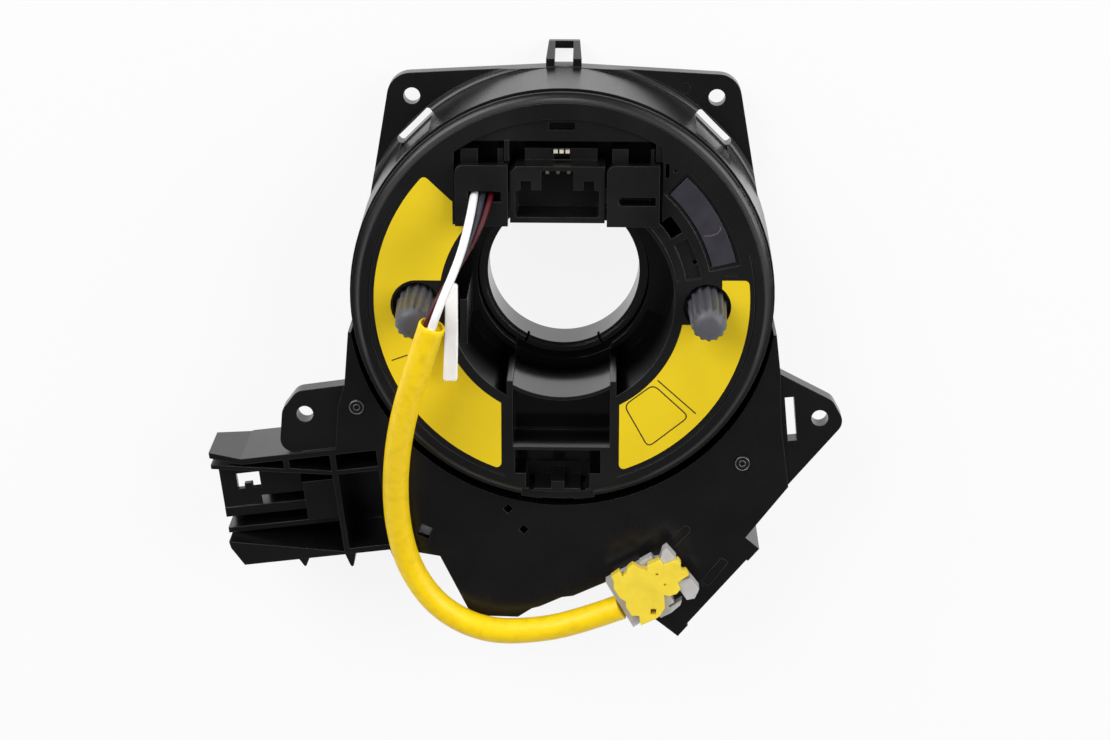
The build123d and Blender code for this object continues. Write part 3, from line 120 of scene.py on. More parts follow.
class FinishTree:
    """Node tree of one finish, ending in its Principled shader."""

    edge_samples = 4
    mask_samples = 6
    flat_cosine = 0.985

    def __init__(self, name: str) -> None:
        """Makes an empty material of that name.

        Args:
            name: Name of the material.
        """
        self.material = bpy.data.materials.new(name)
        self.material.use_nodes = True
        self.nodes = self.material.node_tree.nodes
        self.links = self.material.node_tree.links
        self.shader = self.nodes["Principled BSDF"]

    def add(self, kind: str, **values: object) -> bpy.types.Node:
        """Adds a node and sets its properties or inputs.

        Args:
            kind: Type name of the node.
            values: Property names, or input names with spaces as underscores.

        Returns:
            The new node.
        """
        node = self.nodes.new(kind)
        for name, value in values.items():
            if hasattr(node, name):
                setattr(node, name, value)
            else:
                node.inputs[name.replace("_", " ")].default_value = value
        return node

    def link(self, source: Socket, target: Socket) -> None:
        """Joins two sockets."""
        self.links.new(source, target)

    def set(self, socket: str, value: object) -> None:
        """Sets a constant on the shader's own socket."""
        self.shader.inputs[socket].default_value = value

    def place(self, stretch: Point = (1.0, 1.0, 1.0)) -> Socket:
        """Coordinates of the piece itself, stretched along its axes.

        Args:
            stretch: Scale along X, Y and Z.

        Returns:
            The vector socket.
        """
        coordinates = self.add("ShaderNodeTexCoord")
        mapping = self.add("ShaderNodeMapping")
        mapping.inputs["Scale"].default_value = stretch
        self.link(coordinates.outputs["Object"], mapping.inputs["Vector"])
        return mapping.outputs["Vector"]

    def noise(self, size_mm: float, detail: float = 3.0,
              stretch: Point = (1.0, 1.0, 1.0)) -> Socket:
        """Soft random pattern.

        Args:
            size_mm: Size of its features.
            detail: Octaves.
            stretch: Scale along X, Y and Z.

        Returns:
            The factor socket.
        """
        node = self.add("ShaderNodeTexNoise", Scale=1.0 / (size_mm * MM), Detail=detail)
        self.link(self.place(stretch), node.inputs["Vector"])
        return node.outputs["Fac"]

    def ranged(self, source: Socket, low: float, high: float,
               start: float = 0.0, end: float = 1.0) -> Socket:
        """Maps a factor to a range.

        Args:
            source: The factor.
            low: Value at start.
            high: Value at end.
            start: Factor that gives low.
            end: Factor that gives high.

        Returns:
            The mapped value's socket.
        """
        node = self.add("ShaderNodeMapRange")
        for name, value in (("From Min", start), ("From Max", end), ("To Min", low),
                            ("To Max", high)):
            node.inputs[name].default_value = value
        self.link(source, node.inputs["Value"])
        return node.outputs["Result"]

    def blend(self, factor: Socket, first: object, second: object,
              ) -> Socket:
        """Blends two colours or colour sockets.

        Args:
            factor: Share of the second.
            first: Colour or socket.
            second: Colour or socket.

        Returns:
            The blended colour's socket.
        """
        node = self.add("ShaderNodeMix", data_type="RGBA")
        self.link(factor, node.inputs[0])
        for socket, value in ((node.inputs[6], first), (node.inputs[7], second)):
            if isinstance(value, Socket):
                self.link(value, socket)
            else:
                socket.default_value = (*value, 1.0)
        return node.outputs[2]

    def edges(self, edge_mm: float, sharp: float = 0.55) -> Socket:
        """Mask of the outer edges, from how far a rounded normal turns away; finishes pale their
        colour there, partly as rubbed wear and partly as a painted edge highlight.

        Args:
            edge_mm: Radius that edges look rounded to.
            sharp: Cosine at which the mask is full.

        Returns:
            The mask's socket, 1 on an edge and 0 on a flat face.
        """
        rounded = self.add("ShaderNodeBevel", samples=self.mask_samples, Radius=edge_mm * MM)
        plain = self.add("ShaderNodeNewGeometry")
        turn = self.add("ShaderNodeVectorMath", operation="DOT_PRODUCT")
        self.link(rounded.outputs["Normal"], turn.inputs[0])
        self.link(plain.outputs["Normal"], turn.inputs[1])
        return self.ranged(turn.outputs["Value"], 1.0, 0.0, sharp, self.flat_cosine)

    def axes(self) -> bpy.types.bpy_prop_collection:
        """The object's own coordinates, as sockets X, Y and Z.

        Returns:
            The sockets by axis name.
        """
        node = self.add("ShaderNodeSeparateXYZ")
        self.link(self.place(), node.inputs["Vector"])
        return node.outputs

    def tested(self, source: Socket, operation: str, limit_mm: float,
               ) -> Socket:
        """Compares a length with a limit.

        Args:
            source: The length.
            operation: GREATER_THAN or LESS_THAN.
            limit_mm: The limit.

        Returns:
            The result's socket, 1 where it holds.
        """
        node = self.add("ShaderNodeMath", operation=operation)
        node.inputs[1].default_value = limit_mm * MM
        self.link(source, node.inputs[0])
        return node.outputs[0]

    def inside_box(self, low_mm: Point, high_mm: Point) -> Socket:
        """Mask of a box in the object's own frame.

        Args:
            low_mm: Lowest corner.
            high_mm: Highest corner.

        Returns:
            The mask's socket, 1 inside.
        """
        axes = self.axes()
        mask = None
        for axis, low, high in zip("XYZ", low_mm, high_mm):
            for operation, limit in (("GREATER_THAN", low), ("LESS_THAN", high)):
                passed = self.tested(axes[axis], operation, limit)
                mask = passed if mask is None else self.product(mask, passed)
        return mask

    def inside_bore(self, radius_mm: float, top_mm: float) -> Socket:
        """Mask of a round hollow on the axis.

        Args:
            radius_mm: Radius of the hollow.
            top_mm: Height of its mouth.

        Returns:
            The mask's socket, 1 inside.
        """
        reach = self.add("ShaderNodeVectorMath", operation="LENGTH")
        self.link(self.place((1.0, 1.0, 0.0)), reach.inputs[0])
        return self.product(self.tested(reach.outputs["Value"], "LESS_THAN", radius_mm),
                            self.tested(self.axes()["Z"], "LESS_THAN", top_mm))

    def mixed(self, factor: Socket, first: Socket, second: float,
              ) -> Socket:
        """Blends a value towards a constant.

        Args:
            factor: Share of the constant.
            first: The value.
            second: The constant.

        Returns:
            The blended value's socket.
        """
        node = self.add("ShaderNodeMix", data_type="FLOAT")
        self.link(factor, node.inputs[0])
        self.link(first, node.inputs[2])
        node.inputs[3].default_value = second
        return node.outputs[0]

    def product(self, first: Socket, second: Socket,
                ) -> Socket:
        """Product of two factors.

        Args:
            first: One factor.
            second: The other factor.

        Returns:
            The product's socket.
        """
        node = self.add("ShaderNodeMath", operation="MULTIPLY")
        self.link(first, node.inputs[0])
        self.link(second, node.inputs[1])
        return node.outputs[0]

    def relief(self, heights: list[tuple[Socket, float]], edge_mm: float) -> None:
        """Gives the surface bump from several heights, over softened edges.

        Args:
            heights: Factor sockets with their heights in millimetres.
            edge_mm: Radius that edges look rounded to, or 0.
        """
        normal = None
        if edge_mm > 0:
            edge = self.add("ShaderNodeBevel", samples=self.edge_samples, Radius=edge_mm * MM)
            normal = edge.outputs["Normal"]
        for source, height_mm in heights:
            bump = self.add("ShaderNodeBump", Strength=1.0, Distance=height_mm * MM)
            self.link(source, bump.inputs["Height"])
            if normal is not None:
                self.link(normal, bump.inputs["Normal"])
            normal = bump.outputs["Normal"]
        if normal is not None:
            self.link(normal, self.shader.inputs["Normal"])


@dataclass(frozen=True)
class MouldedPlastic:
    """Black moulded plastic: fine spark-eroded grain, flow marks, dust, and paler edges that are
    partly rubbed wear and partly a painted edge highlight.
    """

    name: str
    colour: Colour
    edge_wear_and_highlight_colour: Colour
    dust: Colour
    roughness: float = 0.38
    roughness_below: float = 0.05
    roughness_above: float = 0.07
    patch_mm: float = 11.0
    patch_gain: float = 0.7
    speck_mm: float = 0.35
    dust_share: float = 0.05
    handled_mm: float = 5.0
    least_wear_and_highlight: float = 0.25
    grain_mm: float = 0.2
    grain_height_mm: float = 0.009
    flow_mm: float = 16.0
    flow_stretch: Point = (1.0, 1.0, 0.35)
    flow_height_mm: float = 0.025
    edge_mm: float = 0.25
    ior: float = 1.52

    def build(self) -> bpy.types.Material:
        """Makes the material.

        Returns:
            The material.
        """
        tree = FinishTree(self.name)
        patches = tree.noise(self.patch_mm, 4.0)
        specks = tree.noise(self.speck_mm, 3.0)
        flow = tree.noise(self.flow_mm, 5.0, self.flow_stretch)
        handled = tree.noise(self.handled_mm, 5.0)
        base = tree.blend(tree.ranged(patches, 0.0, 1.0, *Spread.BROAD.value), self.colour,
                          scaled(self.colour, self.patch_gain))
        dusty = tree.ranged(specks, 0.0, self.dust_share, *Spread.SPECKS.value)
        # Dust over the colour; on the rotor that colour already holds painted shade in the pot
        # and channel.
        dusted_and_shaded = tree.blend(dusty, self.with_painted_shade(tree, base), self.dust)
        # Paler edges: partly rubbed wear, partly a painted highlight where edges would catch the
        # light.
        edge_wear_and_highlight = tree.product(tree.edges(self.edge_mm),
                           tree.ranged(handled, self.least_wear_and_highlight, 1.0, *Spread.HANDLED.value))
        tree.link(tree.blend(edge_wear_and_highlight, dusted_and_shaded, self.edge_wear_and_highlight_colour), tree.shader.inputs["Base Color"])
        rough = tree.ranged(flow, self.roughness - self.roughness_below,
                            self.roughness + self.roughness_above, *Spread.BROAD.value)
        tree.link(self.polish(tree, rough), tree.shader.inputs["Roughness"])
        tree.set("IOR", self.ior)
        grain = tree.noise(self.grain_mm, 2.0)
        tree.relief([(self.smoothed(tree, grain), self.grain_height_mm),
                     (flow, self.flow_height_mm), *self.forms(tree)], self.edge_mm)
        return tree.material

    def with_painted_shade(self, tree: FinishTree, base: Socket) -> Socket:
        """Colour with painted shade in its hollows; this plastic has none."""
        return base

    def polish(self, tree: FinishTree, rough: Socket) -> Socket:
        """Roughness with its polished places; this plastic has none."""
        return rough

    def smoothed(self, tree: FinishTree, grain: Socket) -> Socket:
        """Grain with its smooth places; this plastic has none."""
        return grain

    def forms(self, tree: FinishTree) -> list[tuple[Socket, float]]:
        """Larger forms added to the relief; this plastic has none."""
        return []


@dataclass(frozen=True)
class RotorPlastic(MouldedPlastic):
    """The rotor's plastic: polished in the channel and pot, darkened there as painted shade, with
    a rolled brow in the channel.
    """

    flow_height_mm: float = 0.02
    channel_low_mm: Point = (-12.4, -45.5, 1.0)
    channel_high_mm: Point = (12.4, -17.0, 32.9)
    channel_roughness: float = 0.13
    pot_radius_mm: float = 28.1
    pot_top_mm: float = 32.6
    pot_roughness: float = 0.2
    painted_shade_gain: float = 0.3
    smooth_level: float = 0.5
    brow_low_mm: Point = (-12.3, -38.4, 18.0)
    brow_high_mm: Point = (12.3, -36.9, 33.2)
    brow_start_mm: float = 19.0
    brow_end_mm: float = 33.0
    brow_depth_mm: float = 6.6
    brow_roughness: float = 0.36

    def channel(self, tree: FinishTree) -> Socket:
        """Mask of the channel."""
        return tree.inside_box(self.channel_low_mm, self.channel_high_mm)

    def pot(self, tree: FinishTree) -> Socket:
        """Mask of the pot round the bore."""
        return tree.inside_bore(self.pot_radius_mm, self.pot_top_mm)

    def brow(self, tree: FinishTree) -> Socket:
        """Mask of the channel's end wall."""
        return tree.inside_box(self.brow_low_mm, self.brow_high_mm)

    def with_painted_shade(self, tree: FinishTree, base: Socket) -> Socket:
        """Colour darkened in the pot and the channel as painted shade in these hollows.

        Args:
            tree: The finish's nodes.
            base: The colour elsewhere.

        Returns:
            The colour's socket.
        """
        # Painted shade: the pot and the channel are darkened to stand for the shade inside them.
        dark = scaled(self.colour, self.painted_shade_gain)
        return tree.blend(self.channel(tree), tree.blend(self.pot(tree), base, dark), dark)

    def polish(self, tree: FinishTree, rough: Socket) -> Socket:
        """Roughness that drops in the pot and the channel, less so on the end wall.

        Args:
            tree: The finish's nodes.
            rough: The roughness elsewhere.

        Returns:
            The roughness's socket.
        """
        rough = tree.mixed(self.pot(tree), rough, self.pot_roughness)
        rough = tree.mixed(self.channel(tree), rough, self.channel_roughness)
        return tree.mixed(self.brow(tree), rough, self.brow_roughness)

    def smoothed(self, tree: FinishTree, grain: Socket) -> Socket:
        """Grain that is flat in the pot and the channel.

        Args:
            tree: The finish's nodes.
            grain: The grain elsewhere.

        Returns:
            The grain's socket.
        """
        inner = tree.mixed(self.channel(tree), grain, self.smooth_level)
        return tree.mixed(self.pot(tree), inner, self.smooth_level)

    def forms(self, tree: FinishTree) -> list[tuple[Socket, float]]:
        """Height of the channel's end wall, which rolls back towards its top edge.

        Args:
            tree: The finish's nodes.

        Returns:
            The height's socket with its depth in millimetres.
        """
        rise = tree.ranged(tree.axes()["Z"], 0.0, 1.0, self.brow_start_mm * MM,
                           self.brow_end_mm * MM)
        fall = tree.ranged(tree.product(rise, rise), 1.0, 0.0)
        return [(tree.product(fall, self.brow(tree)), self.brow_depth_mm)]


@dataclass(frozen=True)
class CloudyPlastic:
    """Unpainted, slightly translucent moulded plastic with cloudy colour and paler edges that are
    partly rubbed wear and partly a painted edge highlight.
    """

    name: str
    colour: Colour
    roughness: float = 0.32
    depth_mm: float = 1.2
    through: float = 0.0
    depth_share: float = 0.3
    edge_mm: float = 0.2
    wear_and_highlight_gain: float = 1.25
    cloud_mm: float = 3.0
    cloud_gain: float = 1.1
    cloud_height_mm: float = 0.02
    stain_mm: float = 7.0
    stain_gain: float = 0.86
    stain_share: float = 0.7
    grain_mm: float = 0.3
    grain_height_mm: float = 0.005

    def build(self) -> bpy.types.Material:
        """Makes the material.

        Returns:
            The material.
        """
        tree = FinishTree(self.name)
        cloud = tree.noise(self.cloud_mm, 4.0)
        grain = tree.noise(self.grain_mm, 2.0)
        stain = tree.noise(self.stain_mm, 5.0)
        body = tree.blend(tree.ranged(cloud, 0.0, 1.0, *Spread.BROAD.value), self.colour,
                          scaled(self.colour, self.cloud_gain))
        stained = tree.ranged(stain, 0.0, self.stain_share, *Spread.STAINED.value)
        marked = tree.blend(stained, body,
                            scaled(self.colour, self.stain_gain))
        # Paler edges: partly rubbed wear, partly a painted edge highlight.
        tree.link(tree.blend(tree.edges(self.edge_mm), marked,
                             scaled(self.colour, self.wear_and_highlight_gain)),
                  tree.shader.inputs["Base Color"])
        tree.link(tree.ranged(grain, self.roughness - 0.04, self.roughness + 0.06),
                  tree.shader.inputs["Roughness"])
        tree.set("Subsurface Weight", self.depth_share)
        tree.set("Subsurface Radius", (1.0, 1.0, 1.0))
        tree.set("Subsurface Scale", self.depth_mm * MM)
        tree.set("Transmission Weight", self.through)
        tree.set("IOR", 1.5)
        tree.relief([(grain, self.grain_height_mm), (cloud, self.cloud_height_mm)],
                    self.edge_mm)
        return tree.material


@dataclass(frozen=True)
class SmokedWindow:
    """Smoked clear plastic with fine hairlines."""

    name: str
    colour: Colour
    haze_mm: float = 4.0
    haze_gain: float = 0.75
    hair_mm: float = 0.25
    hair_height_mm: float = 0.003
    hair_stretch: Point = (1.0, 0.08, 1.0)
    through: float = 0.1
    coat: float = 0.3
    coat_roughness: float = 0.08
    ior: float = 1.49
    edge_mm: float = 0.15

    def build(self) -> bpy.types.Material:
        """Makes the material.

        Returns:
            The material.
        """
        tree = FinishTree(self.name)
        haze = tree.noise(self.haze_mm, 5.0)
        hair = tree.noise(self.hair_mm, 2.0, self.hair_stretch)
        tree.link(tree.blend(tree.ranged(haze, 0.0, 1.0, *Spread.MIDDLE.value), self.colour,
                             scaled(self.colour, self.haze_gain)),
                  tree.shader.inputs["Base Color"])
        tree.link(tree.ranged(hair, 0.12, 0.24), tree.shader.inputs["Roughness"])
        for socket, value in (("Transmission Weight", self.through), ("IOR", self.ior),
                              ("Coat Weight", self.coat),
                              ("Coat Roughness", self.coat_roughness)):
            tree.set(socket, value)
        tree.relief([(hair, self.hair_height_mm)], self.edge_mm)
        return tree.material


@dataclass(frozen=True)
class LabelVinyl:
    """Printed vinyl label: even colour, a light film sheen and faint creases."""

    name: str
    colour: Colour
    fade_mm: float = 18.0
    fade_gain: float = 0.93
    crease_mm: float = 6.0
    crease_stretch: Point = (1.0, 0.6, 1.0)
    crease_height_mm: float = 0.02
    fibre_mm: float = 0.35
    fibre_height_mm: float = 0.003

    def build(self) -> bpy.types.Material:
        """Makes the material.

        Returns:
            The material.
        """
        tree = FinishTree(self.name)
        fade = tree.noise(self.fade_mm, 3.0)
        crease = tree.noise(self.crease_mm, 5.0, self.crease_stretch)
        fibre = tree.noise(self.fibre_mm, 2.0)
        tree.link(tree.blend(tree.ranged(fade, 0.0, 1.0, *Spread.BROAD.value), self.colour,
                             scaled(self.colour, self.fade_gain)),
                  tree.shader.inputs["Base Color"])
        tree.link(tree.ranged(crease, 0.34, 0.46), tree.shader.inputs["Roughness"])
        tree.set("IOR", 1.48)
        tree.relief([(fibre, self.fibre_height_mm), (crease, self.crease_height_mm)], 0.0)
        return tree.material


@dataclass(frozen=True)
class SoftTube:
    """Extruded soft plastic of a sleeve or wire: smooth, with handling marks."""

    name: str
    colour: Colour
    roughness: float = 0.36
    mark_mm: float = 2.4
    mark_gain: float = 0.86
    mark_height_mm: float = 0.03
    fine_mm: float = 0.4
    fine_height_mm: float = 0.006
    depth_mm: float = 0.8
    gloss: float = 0.35

    def build(self) -> bpy.types.Material:
        """Makes the material.

        Returns:
            The material.
        """
        tree = FinishTree(self.name)
        mark = tree.noise(self.mark_mm, 5.0)
        fine = tree.noise(self.fine_mm, 3.0)
        tree.link(tree.blend(tree.ranged(mark, 0.0, 1.0, *Spread.MARKED.value), self.colour,
                             scaled(self.colour, self.mark_gain)),
                  tree.shader.inputs["Base Color"])
        tree.link(tree.ranged(fine, self.roughness - 0.05, self.roughness + 0.1),
                  tree.shader.inputs["Roughness"])
        tree.set("Subsurface Weight", 0.12)
        tree.set("Subsurface Radius", (1.0, 0.6, 0.3))
        tree.set("Subsurface Scale", self.depth_mm * MM)
        tree.set("Specular IOR Level", self.gloss)
        tree.set("IOR", 1.5)
        tree.relief([(fine, self.fine_height_mm), (mark, self.mark_height_mm)], 0.0)
        return tree.material


@dataclass(frozen=True)
class PlainMetal:
    """Stamped or plated metal with fine working marks."""

    name: str
    colour: Colour
    roughness: float = 0.28
    drawn_mm: float = 0.3
    drawn_stretch: Point = (1.0, 0.1, 1.0)
    drawn_height_mm: float = 0.004
    tarnish_mm: float = 2.5
    tarnish_gain: float = 0.8
    edge_mm: float = 0.12

    def build(self) -> bpy.types.Material:
        """Makes the material.

        Returns:
            The material.
        """
        tree = FinishTree(self.name)
        drawn = tree.noise(self.drawn_mm, 3.0, self.drawn_stretch)
        tarnish = tree.noise(self.tarnish_mm, 4.0)
        tree.link(tree.blend(tree.ranged(tarnish, 0.0, 1.0, *Spread.TARNISHED.value), self.colour,
                             scaled(self.colour, self.tarnish_gain)),
                  tree.shader.inputs["Base Color"])
        tree.link(tree.ranged(drawn, self.roughness - 0.08, self.roughness + 0.1),
                  tree.shader.inputs["Roughness"])
        tree.set("Metallic", 1.0)
        tree.relief([(drawn, self.drawn_height_mm)], self.edge_mm)
        return tree.material


class Finishes:
    """All finishes of the object, made once."""

    def __init__(self) -> None:
        """Makes every material."""
        dust = (0.16, 0.155, 0.165)
        # Paler edge colour: partly rubbed wear, partly a painted edge highlight.
        edge_wear_and_highlight_colour = (0.045, 0.043, 0.047)
        self.housing = MouldedPlastic("housing_black", (0.0052, 0.0048, 0.0056), edge_wear_and_highlight_colour, dust,
                                      roughness=0.25, grain_height_mm=0.005).build()
        self.rotor = RotorPlastic("rotor_black", (0.0052, 0.0049, 0.0056), edge_wear_and_highlight_colour, dust,
                                  roughness=0.3, grain_height_mm=0.007).build()
        self.connector = MouldedPlastic("connector_black", (0.0020, 0.0019, 0.0022), edge_wear_and_highlight_colour, dust,
                                        roughness=0.36, grain_mm=0.15).build()
        self.hub = MouldedPlastic("hub_black", (0.012, 0.0115, 0.0125), edge_wear_and_highlight_colour, dust,
                                  roughness=0.17, grain_height_mm=0.002, ior=1.6).build()
        self.peg = CloudyPlastic("peg_grey", (0.102, 0.102, 0.115), roughness=0.42,
                                 depth_share=0.15, through=0.18, wear_and_highlight_gain=1.5).build()
        self.window = SmokedWindow("window_smoke", (0.046, 0.042, 0.055)).build()
        self.window_line = LabelVinyl("window_line", (0.17, 0.12, 0.11)).build()
        self.label = LabelVinyl("label_yellow", (0.83, 0.60, 0.010)).build()
        self.rule = LabelVinyl("label_rule", (0.035, 0.028, 0.01)).build()
        self.tube = SoftTube("sleeve_yellow", (1.0, 0.68, 0.004)).build()
        self.plug_cover = CloudyPlastic("plug_yellow", (0.87, 0.66, 0.052),
                                        roughness=0.38, wear_and_highlight_gain=1.08).build()
        self.plug_carrier = CloudyPlastic("plug_grey", (0.50, 0.49, 0.48)).build()
        self.strap = CloudyPlastic("strap_white", (1.0, 0.985, 0.965), depth_share=0.1,
                                   wear_and_highlight_gain=1.03).build()
        self.white_wire = SoftTube("wire_white", (0.94, 0.93, 0.93)).build()
        self.red_wire = SoftTube("wire_red", (0.085, 0.004, 0.010), roughness=0.4).build()
        self.grey_wire = SoftTube("wire_grey", (0.03, 0.032, 0.042), roughness=0.4).build()
        self.contact = PlainMetal("contact_gilt", (1.0, 0.95, 0.80), 0.62).build()
        self.seam = MouldedPlastic("seam_black", (0.0006, 0.0006, 0.0007), (0.002, 0.002, 0.002),
                                   (0.01, 0.01, 0.01), roughness=0.8).build()
        self.screw = PlainMetal("screw_black", (0.05, 0.05, 0.055), 0.4).build()
        self.screw_rim = PlainMetal("screw_rim", (0.22, 0.22, 0.23), 0.42).build()
        self.film = CloudyPlastic("film_clear", (0.7, 0.72, 0.7), roughness=0.2,
                                  through=0.5).build()
        self.laminate = CloudyPlastic("cable_laminate", (0.55, 0.3, 0.12),
                                      roughness=0.25).build()


def dress(node: str, material: bpy.types.Material) -> None:
    """Gives a carried-over node its material.

    Args:
        node: Name of the node.
        material: The finish.
    """
    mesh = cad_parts[node].data
    mesh.materials.clear()
    mesh.materials.append(material)
    LOG.info("dressed %s", node)


def piece_from(name: str, vertices: list[Point], faces: Faces,
               material: bpy.types.Material, body: Body) -> bpy.types.Object:
    """Makes a piece from its corners and faces, and lets it ride on its body.

    Args:
        name: Name of the piece.
        vertices: Corners in metres.
        faces: Corner indices of each face.
        material: Its finish.
        body: The body that carries it.

    Returns:
        The new object.
    """
    mesh = bpy.data.meshes.new(name)
    mesh.from_pydata(vertices, [], faces)
    form = bmesh.new()
    form.from_mesh(mesh)
    bmesh.ops.recalc_face_normals(form, faces=form.faces)
    form.to_mesh(mesh)
    form.free()
    mesh.materials.append(material)
    piece = bpy.data.objects.new(name, mesh)
    bpy.context.scene.collection.objects.link(piece)
    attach(piece, body.value)
    LOG.info("made %s", name)
    return piece


def band_faces(rows: int, count: int) -> Faces:
    """Faces of a closed skin over rings of points, with both end caps.

    Args:
        rows: Number of rings.
        count: Points in each ring.

    Returns:
        Corner indices: the skin's quads, then the first and the last cap.
    """
    faces = []
    for row in range(rows - 1):
        for step in range(count):
            after = (step + 1) % count
            faces.append((row * count + step, row * count + after,
                          (row + 1) * count + after, (row + 1) * count + step))
    faces.append(tuple(range(count)))
    faces.append(tuple((rows - 1) * count + step for step in range(count)))
    return faces


def smooth_sides(piece: bpy.types.Object) -> None:
    """Shades a piece's quads smooth and leaves its caps flat."""
    for face in piece.data.polygons:
        face.use_smooth = len(face.vertices) == 4


@dataclass(frozen=True)
class PrintedLine:
    """A thin line on a flat face: a ribbon one film thick, mitred at its bends."""

    name: str
    points_mm: Outline
    width_mm: float = 0.26
    film_mm: float = 0.02
    closed: bool = False

    def sides(self) -> tuple[list[Vector], list[Vector]]:
        """Left and right edge of the ribbon, in millimetres.

        Returns:
            The points of the left edge and of the right edge.
        """
        points = [Vector(point) for point in self.points_mm]
        count = len(points)
        left, right = [], []
        for index, point in enumerate(points):
            before = points[index - 1] if index or self.closed else point
            after = points[(index + 1) % count] if index < count - 1 or self.closed else point
            runs = [run.normalized() for run in (point - before, after - point) if run.length > 0]
            along = sum(runs, Vector((0.0, 0.0))).normalized()
            across = Vector((-along.y, along.x))
            half = self.width_mm / 2 / max(0.5, abs(along.dot(runs[0])))
            left.append(point + across * half)
            right.append(point - across * half)
        return left, right

    def build(self, level_m: float, material: bpy.types.Material, slot: Slot,
              body: Body = Body.ROTOR) -> bpy.types.Object:
        """Makes the line.

        Args:
            level_m: Height of the face that it lies on.
            material: Its finish.
            slot: The record's slot of the face; not used.
            body: The body that carries it.

        Returns:
            The line's object.
        """
        left, right = self.sides()
        film = self.film_mm * MM
        vertices = []
        for low in (level_m, level_m + film):
            for side in (left, right):
                vertices += [(point.x * MM, point.y * MM, low) for point in side]
        count = len(left)
        faces = []
        for index in range(count if self.closed else count - 1):
            after = (index + 1) % count
            quad = (index, after, count + after, count + index)
            top = tuple(corner + 2 * count for corner in quad)
            faces += [quad, top, (index, after, 2 * count + after, 2 * count + index),
                      (count + index, count + after, 3 * count + after, 3 * count + index)]
        if not self.closed:
            for end in (0, count - 1):
                faces.append((end, count + end, 3 * count + end, 2 * count + end))
        return piece_from(self.name, vertices, faces, material, body)


@dataclass(frozen=True)
class RoundedOutline:
    """Outline of a polygon with rounded corners."""

    corners_mm: Outline
    radius_mm: float
    steps: int = 6

    def points(self) -> Outline:
        """Points along the outline, in order.

        Returns:
            The points in millimetres.
        """
        corners = [Vector(corner) for corner in self.corners_mm]
        outline = []
        for index, corner in enumerate(corners):
            start = corner + (corners[index - 1] - corner).normalized() * self.radius_mm
            follow = corners[(index + 1) % len(corners)]
            end = corner + (follow - corner).normalized() * self.radius_mm
            for step in range(self.steps + 1):
                share = step / self.steps
                near = start.lerp(corner, share)
                far = corner.lerp(end, share)
                outline.append(tuple(near.lerp(far, share)))
        return tuple(outline)


class Route:
    """Centreline of a cord as a smooth spline through its control points."""

    def __init__(self, points_mm: list[Point]) -> None:
        """Keeps the control points.

        Args:
            points_mm: Points in millimetres.
        """
        self.points = [Vector(point) * MM for point in points_mm]

    def curve(self, name: str, radius_mm: float) -> bpy.types.Object:
        """Makes the cord's curve object.

        Args:
            name: Name of the piece.
            radius_mm: Radius of the cord, or 0 for the bare line.

        Returns:
            The curve object.
        """
        data = bpy.data.curves.new(name, "CURVE")
        data.dimensions = "3D"
        data.resolution_u = 24
        data.bevel_resolution = 8
        data.bevel_depth = radius_mm * MM
        data.use_fill_caps = radius_mm > 0
        spline = data.splines.new("NURBS")
        spline.points.add(len(self.points) - 1)
        for target, point in zip(spline.points, self.points):
            target.co = (*point, 1.0)
        spline.order_u = 3
        spline.use_endpoint_u = True
        piece = bpy.data.objects.new(name, data)
        bpy.context.scene.collection.objects.link(piece)
        return piece

    def line(self) -> list[Vector]:
        """Points along the smooth line.

        Returns:
            The points in metres.
        """
        bare = self.curve("route_line", 0.0)
        depsgraph = bpy.context.evaluated_depsgraph_get()
        mesh = bpy.data.meshes.new_from_object(bare.evaluated_get(depsgraph))
        points = [vertex.co.copy() for vertex in mesh.vertices]
        bpy.data.objects.remove(bare)
        return points

    def length(self) -> float:
        """Length of the smooth line in metres.

        Returns:
            The length.
        """
        points = self.line()
        return sum((after - before).length for before, after in zip(points, points[1:]))


@dataclass
class Lead:
    """One insulated wire from the lead cover to the sleeve."""

    name: str
    radius_mm: float
    route_mm: list[Point]
    slot: Slot

    def build(self, material: bpy.types.Material) -> bpy.types.Object:
        """Makes the wire.

        Args:
            material: Its insulation.

        Returns:
            The curve object.
        """
        route = Route(self.route_mm)
        piece = route.curve(self.name + "_wire", self.radius_mm)
        piece.data.materials.append(material)
        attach(piece, Body.ROTOR.value)
        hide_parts(self.name)
        route.length()
        LOG.info("lead %s", self.name)
        return piece


